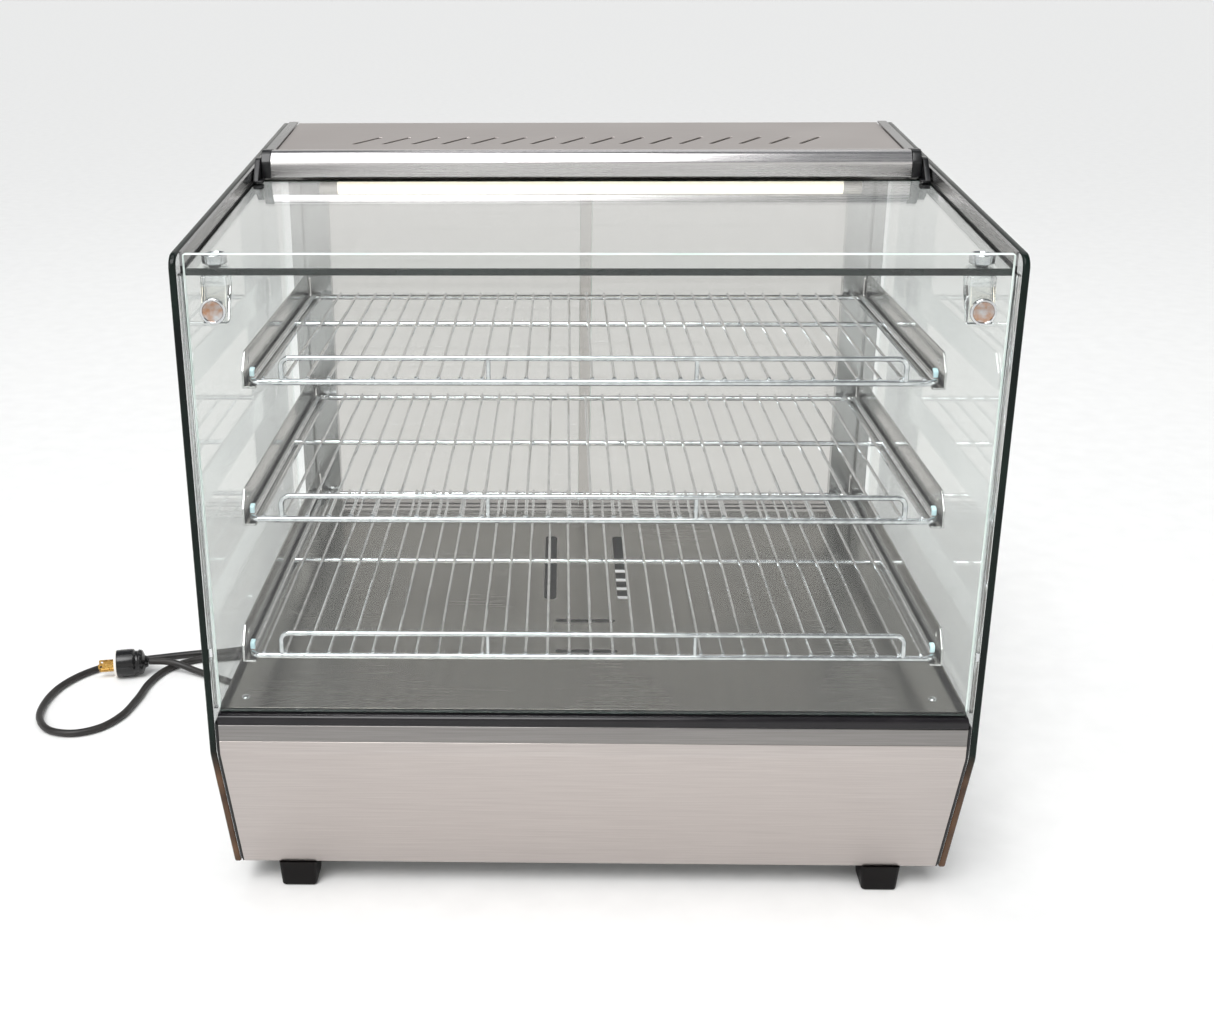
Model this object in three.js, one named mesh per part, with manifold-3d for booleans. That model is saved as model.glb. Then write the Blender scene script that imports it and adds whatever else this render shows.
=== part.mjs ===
// Countertop hot food display case: a square glass showcase with a lift-up front, three wire
// shelves, two sliding rear doors and a heated base. Millimetres, +Z up, the front faces -Y,
// and the origin is the centre of the footprint on the table.
import * as THREE from 'three';
import Module from 'manifold-3d';
import { mergeVertices } from 'three/addons/utils/BufferGeometryUtils.js';

const wasm = await Module();
wasm.setup();

// ---------------------------------------------------------------- driving dimensions
const WIDTH = 695;             // over the two side panes
const DEPTH = 568;             // front to rear edge of a side pane
const HEIGHT = 686;            // table to the rear top edge of a side pane
const TOP_RISE = 49;           // how much higher the top edge is at the rear than at the front
const FOOT_HEIGHT = 27;        // table to the underside of the case
const KNEE_Z = 180;            // where the front outline starts to lean back
const BASE_SETBACK = 59;       // how far the bottom of the front leans back
const DECK_Z = 222;            // heated deck surface
const HOUSING_DEPTH = 235;     // top rail nose to the rear edge
const PANE = 6;                // side pane thickness
const GLASS = 6;               // front and top glass thickness
const SHEET = 1.5;             // casing sheet thickness
const GAP = 0.3;               // between pieces that touch
const RUN = 0.5;               // beside pieces that move
const GLASS_SETBACK = 7;       // front glass face behind the side panes' front edge
const SEAL_WIDTH = 3.8;        // gasket and seal strips between glass edge and side pane
const TOP_GLASS_DROP = 14;     // top glass surface below the side panes' top edge
const LEDGE_HEIGHT = 9.4;      // dark ledge that the front glass stands on
const STRIP_HEIGHT = 16.4;     // narrow strip under the ledge
const SHELF_COUNT = 3;
const BOTTOM_SHELF_RISE = 39;  // deck to the bottom shelf's frame rod
const TOP_SHELF_DROP = 138;    // front top edge to the top shelf's frame rod
const BOTTOM_SHELF_FRONT = 43; // pane front edge to the bottom shelf's front rod
const TOP_SHELF_FRONT = 121;   // pane front edge to the top shelf's front rod
const SHELF_INSET = 35;        // side pane's outer face to the centre of a shelf's side rod
const FRAME_ROD = 6;
const WIRE = 3;
const WIRE_PITCH = 20;
const GUARD_HEIGHT = 20;       // shelf front rod to the guard rod above it
const GUARD_ROD = 5;
const GUARD_INSET = 29.2;      // shelf side rod to the end of the guard rod
const ARM_SHEET = 2;
const ARM_HEIGHT = 32;         // shelf arm plate
const POST_WIDTH = 45.5;       // slotted post, across its front face
const POST_FRONT = 72;         // rear edge of the panes to the front of the slotted posts
const TRACK_FRONT = 56;        // rear edge of the panes to the front of the door tracks
const TRACK_DEPTH = 42;
const DOOR = 5;                // door panel thickness
const DOOR_LAP = 14;           // how far the two doors overlap
const DOOR_PLANES = [9, 23];   // door panel fronts behind the track's front face
const REAR_PANEL_INSET = 18;
const CORD = 8.5;

// ---------------------------------------------------------------- derived places
const FRONT = -DEPTH / 2;
const REAR = DEPTH / 2;
const FRONT_TOP = HEIGHT - TOP_RISE;
const INNER = WIDTH / 2 - PANE - GAP;          // inner face of a side pane
const GLASS_HALF = INNER - SEAL_WIDTH - RUN + GAP;
const GLASS_Y = FRONT + GLASS_SETBACK;         // front face of the front glass
const SLOPE = TOP_RISE / DEPTH;
const topEdge = (y) => FRONT_TOP + (y - FRONT) * SLOPE;
const glassTop = (y) => topEdge(y) - TOP_GLASS_DROP;
const LEDGE_TOP = DECK_Z - 2.3;
const STRIP_TOP = LEDGE_TOP - LEDGE_HEIGHT - GAP;
const PANEL_TOP = STRIP_TOP - STRIP_HEIGHT - GAP;
const FACE_Y = FRONT + 1;                      // outer face of the lower front panel
const PANEL_HALF = INNER - 2.9;
const RAIL_FRONT = REAR - HOUSING_DEPTH;
const RAIL_DEPTH = 26;
const CAP = 9;
const RAIL_HALF = GLASS_HALF - 6.1 - CAP;
const PIVOT_PIN = 3;
const PIVOT_Y = RAIL_FRONT + 12;
const PIVOT_Z = topEdge(PIVOT_Y) - 5;
const CEILING_Z = topEdge(RAIL_FRONT) - 16;    // underside of the housing
const TRACK_Y = REAR - TRACK_FRONT;
const TRACK_BASE = DECK_Z - 2.5;
const REAR_PANEL_Y = REAR - REAR_PANEL_INSET;
const SHELF_HALF = WIDTH / 2 - SHELF_INSET;
const SHELF_REAR = REAR - POST_FRONT - 8;
const ARM_X = SHELF_HALF + FRAME_ROD / 2 + 1.5;
const POST_X = ARM_X + ARM_SHEET / 2;

const lerp = (a, b, i) => a + (b - a) * i / (SHELF_COUNT - 1);
const SHELVES = ['bottom', 'middle', 'top'].map((name, i) => ({
  name,
  z: lerp(DECK_Z + BOTTOM_SHELF_RISE, FRONT_TOP - TOP_SHELF_DROP, i),
  front: FRONT + lerp(BOTTOM_SHELF_FRONT, TOP_SHELF_FRONT, i),
}));

// ---------------------------------------------------------------- materials
const finish = (color, roughness, metalness, extra = {}) =>
  new THREE.MeshStandardMaterial({ color, roughness, metalness, ...extra });
const clear = { transparent: true, opacity: 0.3 };
const FINISH = {
  glass: () => finish(0xcfe0da, 0.05, 0, clear),
  clearPlastic: () => finish(0xdfe6e6, 0.2, 0, clear),
  steel: () => finish(0xc6c2be, 0.35, 1),
  brightSteel: () => finish(0xd8d8d6, 0.18, 1),
  chrome: () => finish(0xe2e4e6, 0.08, 1),
  aluminium: () => finish(0xcfcdca, 0.25, 1),
  black: () => finish(0x17181a, 0.45, 0),
  rubber: () => finish(0x1d1d1e, 0.8, 0),
  lamp: () => finish(0xfff6e6, 0.4, 0),
  ceramic: () => finish(0xe9e4d8, 0.6, 0),
  copper: () => finish(0x8a5a3c, 0.4, 1),
};

const caseGroup = new THREE.Group();

function add(name, geometry, material) {
  const mesh = new THREE.Mesh(geometry, FINISH[material]());
  mesh.name = name;
  caseGroup.add(mesh);
}

// ---------------------------------------------------------------- shapes
const Y_AXIS = new THREE.Vector3(0, 1, 0);
const Z_AXIS = new THREE.Vector3(0, 0, 1);
const X_AXIS = new THREE.Vector3(1, 0, 0);

function box(x0, x1, y0, y1, z0, z1) {
  const geometry = new THREE.BoxGeometry(x1 - x0, y1 - y0, z1 - z0);
  return geometry.translate((x0 + x1) / 2, (y0 + y1) / 2, (z0 + z1) / 2);
}

// Points are [u, v] or [u, v, radius], where a radius rounds that corner.
function outline(points, ShapeClass = THREE.Shape) {
  const shape = new ShapeClass();
  const n = points.length;
  points.forEach(([u, v, r = 0], i) => {
    const here = new THREE.Vector2(u, v);
    const towards = (other) => {
      const side = new THREE.Vector2(other[0], other[1]).sub(here);
      return side.setLength(Math.min(r, side.length() * 0.45)).add(here);
    };
    const a = r ? towards(points[(i + n - 1) % n]) : here;
    if (i === 0) shape.moveTo(a.x, a.y); else shape.lineTo(a.x, a.y);
    if (r) {
      const b = towards(points[(i + 1) % n]);
      shape.quadraticCurveTo(u, v, b.x, b.y);
    }
  });
  shape.closePath();
  return shape;
}

function extrude(shape, length, curveSegments = 4) {
  return new THREE.ExtrudeGeometry(shape, { depth: length, bevelEnabled: false, steps: 1, curveSegments });
}

const asShape = (profile) => (Array.isArray(profile) ? outline(profile) : profile);

// A (y, z) outline carried along X.
function alongX(profile, x0, x1, segments) {
  const turn = new THREE.Matrix4().makeBasis(Y_AXIS, Z_AXIS, X_AXIS);
  return extrude(asShape(profile), x1 - x0, segments).applyMatrix4(turn).translate(x0, 0, 0);
}

// A (z, x) outline carried along Y.
function alongY(profile, y0, y1, segments) {
  const turn = new THREE.Matrix4().makeBasis(Z_AXIS, X_AXIS, Y_AXIS);
  return extrude(asShape(profile), y1 - y0, segments).applyMatrix4(turn).translate(0, y0, 0);
}

// An (x, y) outline carried along Z.
function alongZ(profile, z0, z1, segments) {
  return extrude(asShape(profile), z1 - z0, segments).translate(0, 0, z0);
}

// A closed outline of sheet: the open line and its copy, offset to its left by the thickness.
function bentSheet(line, thickness) {
  const direction = (a, b) => new THREE.Vector2(b[0] - a[0], b[1] - a[1]).normalize();
  const offset = line.map((p, i) => {
    const before = i > 0 ? direction(line[i - 1], p) : direction(p, line[1]);
    const after = i < line.length - 1 ? direction(p, line[i + 1]) : before;
    const miter = before.clone().add(after).normalize();
    const reach = thickness / Math.max(0.3, miter.dot(before));
    return [p[0] - miter.y * reach, p[1] + miter.x * reach];
  });
  return [...line, ...offset.reverse()];
}

function cylinder(radius, length, sides, axis) {
  const geometry = new THREE.CylinderGeometry(radius, radius, length, sides);
  if (axis === 'x') geometry.rotateZ(Math.PI / 2);
  if (axis === 'z') geometry.rotateX(Math.PI / 2);
  return geometry;
}

// ---------------------------------------------------------------- booleans
function solid(geometry) {
  const bare = geometry.clone();
  bare.deleteAttribute('normal');
  bare.deleteAttribute('uv');
  const merged = mergeVertices(bare, 1e-4);
  return new wasm.Manifold(new wasm.Mesh({
    numProp: 3,
    vertProperties: Float32Array.from(merged.attributes.position.array),
    triVerts: Uint32Array.from(merged.index.array),
  }));
}

function geometryOf(manifold) {
  const mesh = manifold.getMesh();
  const geometry = new THREE.BufferGeometry();
  geometry.setAttribute('position', new THREE.BufferAttribute(mesh.vertProperties, 3));
  geometry.setIndex(new THREE.BufferAttribute(mesh.triVerts, 1));
  return geometry;
}

const join = (...parts) => geometryOf(parts.map(solid).reduce((a, b) => a.add(b)));
const cut = (part, ...tools) => geometryOf(tools.map(solid).reduce((a, b) => a.subtract(b), solid(part)));

// Calls make(sign, 'left') and make(sign, 'right'), where left is -X.
function bothSides(make) {
  make(-1, 'left');
  make(1, 'right');
}

// A pair of x limits on one side of the case, in rising order.
const sideSpan = (sign, inner, outer) => (sign > 0 ? [inner, outer] : [-outer, -inner]);

// ---------------------------------------------------------------- side walls
const SIDE_LINER = 1.2;        // black sheet behind the pane's lower part
const SIDE_RAIL = 3;           // bright bar along the pane's top edge
const COVER_STRIP = 10;        // its flange beside the top cover, which lies on a seat below it
const COVER_DROP = 2;          // the top cover below the pane's top edge

function sideProfile(inset, bottom = FOOT_HEIGHT, top = null) {
  const lean = (z) => FRONT + Math.max(0, (KNEE_Z - z) / (KNEE_Z - FOOT_HEIGHT)) * BASE_SETBACK;
  const upper = top === null
    ? [[FRONT + inset, FRONT_TOP - inset, 12], [REAR - inset, HEIGHT - inset, 6]]
    : [[FRONT + inset, top], [REAR - inset, top]];
  return [
    [lean(bottom) + inset, bottom + inset, 5],
    [FRONT + inset, KNEE_Z, 18],
    ...upper,
    [REAR - inset, bottom + inset, 4],
  ].map(([y, z, r = 0]) => [y, z, r]);
}

function buildSides() {
  bothSides((sign, side) => {
    const paneSpan = sideSpan(sign, WIDTH / 2 - PANE, WIDTH / 2);
    add(`side_glass_${side}`, alongX(sideProfile(0), ...paneSpan), 'glass');

    const linerSpan = sideSpan(sign, INNER - SIDE_LINER, INNER);
    const baseLiner = alongX(sideProfile(1.5, FOOT_HEIGHT, DECK_Z - 10), ...linerSpan);
    add(`base_side_${side}`, baseLiner, 'black');

    const railStart = GLASS_Y + GLASS + 2;
    const rail = [
      [railStart, topEdge(railStart) - TOP_GLASS_DROP + 1.6],
      [REAR - 2, topEdge(REAR - 2) - TOP_GLASS_DROP + 1.6],
      [REAR - 2, topEdge(REAR - 2) - 1],
      [railStart, topEdge(railStart) - 1],
    ];
    const bar = alongX(rail, ...sideSpan(sign, INNER - SIDE_RAIL, INNER));
    const stripStart = RAIL_FRONT + RAIL_DEPTH + 1.4;
    const strip = (low, high, inner) => alongX([
      [stripStart, topEdge(stripStart) + low], [REAR - 2, topEdge(REAR - 2) + low],
      [REAR - 2, topEdge(REAR - 2) + high], [stripStart, topEdge(stripStart) + high],
    ], ...sideSpan(sign, inner, INNER));
    const under = -COVER_DROP - SHEET - GAP;
    const flange = strip(-SHEET, 0, INNER - COVER_STRIP);
    const seat = strip(under - SHEET, under, INNER - COVER_STRIP - 6);
    add(`side_rail_${side}`, join(bar, flange, seat), 'brightSteel');

    const gasketEnd = RAIL_FRONT + RAIL_DEPTH;
    const gasket = [
      [railStart, glassTop(railStart) - GLASS - 1],
      [gasketEnd, glassTop(gasketEnd) - GLASS - 1],
      [gasketEnd, glassTop(gasketEnd) + 1.3],
      [railStart, glassTop(railStart) + 1.3],
    ];
    const sealSpan = sideSpan(sign, INNER - SEAL_WIDTH, INNER);
    add(`top_gasket_${side}`, alongX(gasket, ...sealSpan), 'rubber');

    const seal = box(...sealSpan, FRONT + 2, railStart - GAP, DECK_Z + 4, FRONT_TOP - 16);
    add(`front_seal_${side}`, seal, 'clearPlastic');
  });
}

// ---------------------------------------------------------------- base
const PANEL_LIP = 14;          // returned edges of the front panel and strip

function buildFrontOfBase() {
  const bottomY = FACE_Y + BASE_SETBACK;
  const panelLine = [
    [FACE_Y + PANEL_LIP, PANEL_TOP],
    [FACE_Y, PANEL_TOP],
    [FACE_Y, KNEE_Z],
    [bottomY, FOOT_HEIGHT + 1],
    [bottomY + PANEL_LIP, FOOT_HEIGHT + 1],
  ];
  add('front_lower_panel', alongX(bentSheet(panelLine, SHEET), -PANEL_HALF, PANEL_HALF), 'steel');

  const stripLine = [
    [FACE_Y + PANEL_LIP, STRIP_TOP],
    [FACE_Y, STRIP_TOP],
    [FACE_Y, STRIP_TOP - STRIP_HEIGHT],
  ];
  add('front_strip', alongX(bentSheet(stripLine, SHEET), -PANEL_HALF, PANEL_HALF), 'steel');

  const ledge = [
    [FRONT + 0.6, LEDGE_TOP - LEDGE_HEIGHT],
    [GLASS_Y + GLASS + 1.7, LEDGE_TOP - LEDGE_HEIGHT],
    [GLASS_Y + GLASS + 1.7, LEDGE_TOP],
    [FRONT + 0.6, LEDGE_TOP, 5],
  ];
  add('front_glass_ledge', alongX(ledge, -PANEL_HALF, PANEL_HALF), 'black');
}

const DECK_FRONT = GLASS_Y + GLASS + 2;
const DECK_HALF = PANEL_HALF - 9.3;
const DECK_DROP = 9;           // deck surface above the flange that it hangs from
// Each slot's centre x, centre behind the front glass, width and length.
const AIR_SLOTS = [
  [-2.5, 131, 61, 9], [-2.5, 168, 61, 9], [-2.5, 203, 61, 9],
  [-39, 351, 13, 187], [39, 351, 13, 187],
];

function slotOutline(x, y, width, length) {
  const r = Math.min(width, length) / 2;
  return [
    [x - width / 2, y - length / 2, r],
    [x + width / 2, y - length / 2, r],
    [x + width / 2, y + length / 2, r],
    [x - width / 2, y + length / 2, r],
  ];
}

function buildDeck() {
  const drop = DECK_Z - DECK_DROP;
  const half = [
    [DECK_Z + 4, PANEL_HALF - SHEET],
    [drop, PANEL_HALF - SHEET],
    [drop, DECK_HALF],
    [DECK_Z - SHEET, DECK_HALF],
  ];
  const line = [...half, ...half.map(([z, x]) => [z, -x]).reverse()];
  const deck = alongY(bentSheet(line, SHEET), DECK_FRONT, TRACK_Y - GAP);
  const rear = TRACK_Y - 25;
  const slots = AIR_SLOTS
    .filter(([, y, , length]) => GLASS_Y + y + length / 2 < rear)
    .map(([x, y, width, length]) => alongZ(slotOutline(x, GLASS_Y + y, width, length), drop, DECK_Z + 2, 3));
  add('deck_plate', cut(deck, ...slots), 'brightSteel');
}

const CONTROL_Z = 125;         // height of the knob, the switches and the louvres' middle
const KNOB = { x: -150, shaft: 3, radius: 19, depth: 14 };
const SWITCHES = [{ name: 'power_switch', x: -70 }, { name: 'light_switch', x: -25 }];
const SWITCH = { width: 11, height: 24 };
const LOUVRES = { x0: 40, x1: 190, height: 4, pitch: 12, count: 5 };
const GLAND = { x: 235, z: 55, thread: 8, collar: 12 };
const PAN_TOP = FOOT_HEIGHT + 1 + SHEET;

function buildRearPanel() {
  const flange = 8;
  const line = [
    [REAR_PANEL_Y - flange, FOOT_HEIGHT + 1 + SHEET + GAP],
    [REAR_PANEL_Y, FOOT_HEIGHT + 1 + SHEET + GAP],
    [REAR_PANEL_Y, TRACK_BASE - GAP],
  ];
  const panel = alongX(bentSheet(line, SHEET), -PANEL_HALF, PANEL_HALF);
  const through = [REAR_PANEL_Y - 5, REAR_PANEL_Y + 5];
  const holes = [
    cylinder(KNOB.shaft + RUN, 10, 16, 'y').translate(KNOB.x, REAR_PANEL_Y, CONTROL_Z),
    cylinder(GLAND.thread + GAP, 10, 16, 'y').translate(GLAND.x, REAR_PANEL_Y, GLAND.z),
    ...SWITCHES.map(({ x }) => box(
      x - SWITCH.width / 2 - RUN, x + SWITCH.width / 2 + RUN, ...through,
      CONTROL_Z - SWITCH.height / 2 - RUN, CONTROL_Z + SWITCH.height / 2 + RUN)),
  ];
  for (let row = 0; row < LOUVRES.count; row++) {
    const z = CONTROL_Z + (row - (LOUVRES.count - 1) / 2) * LOUVRES.pitch;
    holes.push(box(LOUVRES.x0, LOUVRES.x1, ...through, z - LOUVRES.height / 2, z + LOUVRES.height / 2));
  }
  add('rear_panel', cut(panel, ...holes), 'steel');
}

const FOOT = { inset: 62, top: 38, bottom: 32, frontInset: 18, rearInset: 50 };

function buildBase() {
  const panFront = FACE_Y + BASE_SETBACK + PANEL_LIP + 2;
  const panRear = REAR_PANEL_Y - SHEET - 2;
  add('base_pan', box(-PANEL_HALF, PANEL_HALF, panFront, panRear, FOOT_HEIGHT + 1, PAN_TOP), 'steel');
  const footX = WIDTH / 2 - FOOT.inset;
  const footTop = FOOT_HEIGHT + 1 - GAP;
  const rows = { front: FRONT + BASE_SETBACK + FOOT.frontInset, rear: REAR - FOOT.rearInset };
  for (const [row, y] of Object.entries(rows)) {
    bothSides((sign, side) => {
      // A four-sided cylinder's radius is half its diagonal.
      const [upper, lower] = [FOOT.top, FOOT.bottom].map((edge) => edge * Math.SQRT1_2);
      const foot = new THREE.CylinderGeometry(upper, lower, footTop, 4);
      foot.rotateY(Math.PI / 4).rotateX(Math.PI / 2).translate(sign * footX, y, footTop / 2);
      add(`foot_${row}_${side}`, foot, 'rubber');
    });
  }
}

// ---------------------------------------------------------------- top housing
const RAIL_HEIGHT = 27;
const RAIL_WALL = 2;

function railOutline(grow, ShapeClass) {
  const z0 = topEdge(RAIL_FRONT) - 12 - grow;
  const z1 = z0 + RAIL_HEIGHT + 2 * grow;
  const y0 = RAIL_FRONT - grow;
  const y1 = RAIL_FRONT + RAIL_DEPTH + grow;
  return outline([
    [y0 + 3, z0], [y1, z0], [y1, z1 - 1.5],
    [y0 + 9, z1, 6], [y0, z1 - 9, 8], [y0, z0 + 4, 3],
  ], ShapeClass);
}

// Slanted slots through the top panel: their pitch, plain end margins, and half reach front to rear.
const VENTS = { pitch: 32, margin: 75, reach: 18, lean: 16, width: 5.5, rearInset: 101 };
const LAMP = { radius: 8, behindRail: 24, drop: 13 };

function buildTopHousing() {
  const rail = railOutline(0);
  rail.holes.push(railOutline(-RAIL_WALL, THREE.Path));
  add('top_rail', alongX(rail, -RAIL_HALF, RAIL_HALF), 'aluminium');

  bothSides((sign, side) => {
    const span = sideSpan(sign, RAIL_HALF + GAP, RAIL_HALF + GAP + CAP);
    const bore = cylinder(PIVOT_PIN + GAP, 30, 16, 'x').translate(sign * RAIL_HALF, PIVOT_Y, PIVOT_Z);
    add(`rail_end_cap_${side}`, cut(alongX(railOutline(0.6), ...span), bore), 'black');
  });

  const panelFront = RAIL_FRONT + RAIL_DEPTH + GAP + 0.6;
  const line = [
    [panelFront, topEdge(panelFront) - COVER_DROP - SHEET],
    [REAR - SHEET, topEdge(REAR) - COVER_DROP - SHEET],
    [REAR - SHEET, topEdge(REAR) - 26],
  ];
  const coverHalf = INNER - COVER_STRIP - RUN;
  const panel = alongX(bentSheet(line.reverse(), -SHEET), -coverHalf, coverHalf);
  const { pitch, margin, reach, lean, width } = VENTS;
  const count = Math.floor((2 * GLASS_HALF - 2 * margin) / pitch);
  const slotY = REAR - VENTS.rearInset;
  const slots = Array.from({ length: count }, (_, i) => {
    const x = (i - (count - 1) / 2) * pitch;
    const corners = [[-lean, -reach], [width - lean, -reach], [lean, reach], [lean - width, reach]];
    const z = topEdge(slotY);
    return alongZ(corners.map(([u, v]) => [x + u, slotY + v]), z - 12, z + 12);
  });
  add('top_panel', cut(panel, ...slots), 'steel');

  const linerLine = [
    [RAIL_FRONT + 3, CEILING_Z],
    [TRACK_Y - GAP - SHEET, CEILING_Z],
    [TRACK_Y - GAP - SHEET, CEILING_Z + 16],
  ];
  const linerHalf = RAIL_HALF + CAP;
  add('ceiling_liner', alongX(bentSheet(linerLine, SHEET), -linerHalf, linerHalf), 'brightSteel');

  const lamp = cylinder(LAMP.radius, 2 * RAIL_HALF - 90, 16, 'x');
  add('lamp_tube', lamp.translate(0, RAIL_FRONT + LAMP.behindRail, CEILING_Z - LAMP.drop), 'lamp');
}

// ---------------------------------------------------------------- rear posts, tracks and doors
function buildRear() {
  const grooves = DOOR_PLANES.map((y) => [TRACK_Y + y - 0.75, TRACK_Y + y + DOOR + 0.75]);
  const lower = box(-GLASS_HALF, GLASS_HALF, TRACK_Y, TRACK_Y + TRACK_DEPTH, TRACK_BASE, TRACK_BASE + 12);
  add('door_track_lower', cut(lower, ...grooves.map((g) =>
    box(-WIDTH, WIDTH, ...g, TRACK_BASE + 5.5, TRACK_BASE + 30))), 'aluminium');
  const upper = box(-GLASS_HALF, GLASS_HALF, TRACK_Y, TRACK_Y + TRACK_DEPTH, CEILING_Z - 16, CEILING_Z + 5);
  add('door_track_upper', cut(upper, ...grooves.map((g) =>
    box(-WIDTH, WIDTH, ...g, CEILING_Z - 30, CEILING_Z))), 'aluminium');

  const doorHalf = GLASS_HALF - 1;
  const planes = { left: DOOR_PLANES[0], right: DOOR_PLANES[1] };
  bothSides((sign, side) => {
    const y = TRACK_Y + planes[side];
    const span = sideSpan(sign, -DOOR_LAP / 2, doorHalf);
    const door = box(...span, y, y + DOOR, TRACK_BASE + 6.5, CEILING_Z - 3);
    add(`rear_door_${side}`, door, 'glass');
    const grip = sideSpan(sign, doorHalf - 38, doorHalf - 20);
    const mid = (TRACK_BASE + CEILING_Z) / 2;
    add(`door_handle_${side}`, box(...grip, y + DOOR + GAP, y + DOOR + 6.8, mid - 55, mid + 55), 'black');

    const groove = { inner: POST_X - 3, outer: POST_X + 3.6 };
    const line = [
      [GLASS_HALF - POST_WIDTH, TRACK_Y - 3],
      [GLASS_HALF - POST_WIDTH, REAR - POST_FRONT],
      [groove.inner, REAR - POST_FRONT],
      [groove.inner, REAR - POST_FRONT + 8],
      [groove.outer, REAR - POST_FRONT + 8],
      [groove.outer, REAR - POST_FRONT],
      [GLASS_HALF - 3, REAR - POST_FRONT],
    ];
    const profile = bentSheet(line, SHEET).map(([x, yy]) => [sign * x, yy]);
    const post = alongZ(profile, DECK_Z + GAP, CEILING_Z - GAP);
    const slots = SHELVES.map(({ z }) => box(
      ...sideSpan(sign, ARM_X - 1, ARM_X + ARM_SHEET + 1),
      REAR - POST_FRONT + 4, REAR - POST_FRONT + 13, z - 2, z + 19));
    add(`rear_post_${side}`, cut(post, ...slots), 'brightSteel');
  });
}

// ---------------------------------------------------------------- lift-up glass
// The round fixings that join the front glass to the top glass.
const DISC = { x: WIDTH / 2 - 33, frontZ: FRONT_TOP - 47, topY: GLASS_Y + GLASS + 13, bolt: 4, radius: 11 };
const CLAMP = 4;               // hinge clamp above and below the top glass

const topGlassLine = () => {
  const y0 = GLASS_Y + GLASS + GAP;
  const y1 = RAIL_FRONT - 2;
  return [[y0, glassTop(y0) - GLASS], [y1, glassTop(y1) - GLASS], [y1, glassTop(y1)], [y0, glassTop(y0)]];
};

function bolts(radius, sign) {
  return [
    cylinder(radius, 40, 12, 'y').translate(sign * DISC.x, GLASS_Y, DISC.frontZ),
    cylinder(radius, 24, 12, 'z').translate(sign * DISC.x, DISC.topY, glassTop(DISC.topY)),
  ];
}

function buildLiftGlass() {
  const holes = [...bolts(DISC.bolt + GAP, -1), ...bolts(DISC.bolt + GAP, 1)];
  const front = box(-GLASS_HALF, GLASS_HALF, GLASS_Y, GLASS_Y + GLASS, LEDGE_TOP + RUN, FRONT_TOP);
  add('front_glass', cut(front, holes[0], holes[2]), 'glass');
  const top = alongX(topGlassLine(), -GLASS_HALF, GLASS_HALF);
  add('top_glass', cut(top, holes[1], holes[3]), 'glass');

  bothSides((sign, side) => {
    const inner = GLASS_Y + GLASS + GAP;
    const under = glassTop(inner) - GLASS - GAP;
    const block = alongX([
      [inner, DISC.frontZ - 12], [inner + 8, DISC.frontZ - 12], [inner + 25, under - 12],
      [inner + 25, under], [inner, under],
    ], sign * DISC.x - DISC.radius, sign * DISC.x + DISC.radius);
    const frontDisc = cylinder(DISC.radius, 4, 24, 'y');
    frontDisc.translate(sign * DISC.x, GLASS_Y - GAP - 2, DISC.frontZ);
    const frontBolt = cylinder(DISC.bolt, GLASS + 6, 12, 'y')
      .translate(sign * DISC.x, GLASS_Y + GLASS / 2, DISC.frontZ);
    const seat = glassTop(DISC.topY) + 1.3;
    const topDisc = cylinder(DISC.radius - 0.5, 8, 24, 'z').translate(sign * DISC.x, DISC.topY, seat + 4);
    const topBolt = cylinder(DISC.bolt, 16, 12, 'z').translate(sign * DISC.x, DISC.topY, seat - 5);
    add(`glass_connector_${side}`, join(block, frontDisc, frontBolt, topDisc, topBolt), 'clearPlastic');

    const armSpan = sideSpan(sign, RAIL_HALF + CAP + 2 * GAP, GLASS_HALF - 0.1);
    const grip = { y0: RAIL_FRONT - 20, y1: RAIL_FRONT - 10 };
    const behindGlass = RAIL_FRONT + 6;
    const jaw = (y) => glassTop(y) - GLASS - CLAMP;
    const arm = alongX([
      [PIVOT_Y - 13, PIVOT_Z + 12, 8], [PIVOT_Y + 9, PIVOT_Z + 12, 8], [PIVOT_Y + 7, PIVOT_Z - 9, 6],
      [behindGlass, jaw(behindGlass)], [grip.y0, jaw(grip.y0)], [grip.y0, glassTop(grip.y0) + 3.2, 2],
    ], ...armSpan);
    const padSpan = sideSpan(sign, GLASS_HALF - 10, GLASS_HALF - 1);
    const pad = (low, high) => alongX([
      [grip.y0, glassTop(grip.y0) + low], [grip.y1, glassTop(grip.y1) + low],
      [grip.y1, glassTop(grip.y1) + high], [grip.y0, glassTop(grip.y0) + high],
    ], ...padSpan);
    const pin = cylinder(PIVOT_PIN, 9, 16, 'x').translate(sign * (RAIL_HALF + CAP), PIVOT_Y, PIVOT_Z);
    const hinge = solid(join(arm, pad(GAP, 3.2), pad(-GLASS - CLAMP, -GLASS - GAP), pin));
    const slot = topGlassLine().map(([y, z], i) => [y + (i % 3 ? GAP : 0), z + (i > 1 ? GAP : -GAP)]);
    const opening = solid(alongX(slot, -GLASS_HALF - 2, GLASS_HALF + 2));
    add(`glass_hinge_${side}`, geometryOf(hinge.subtract(opening)), 'black');
  });
}

// ---------------------------------------------------------------- shelves
const MIDDLE_ROD = 233;        // shelf front rod to the rod under the middle of the wires

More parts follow.
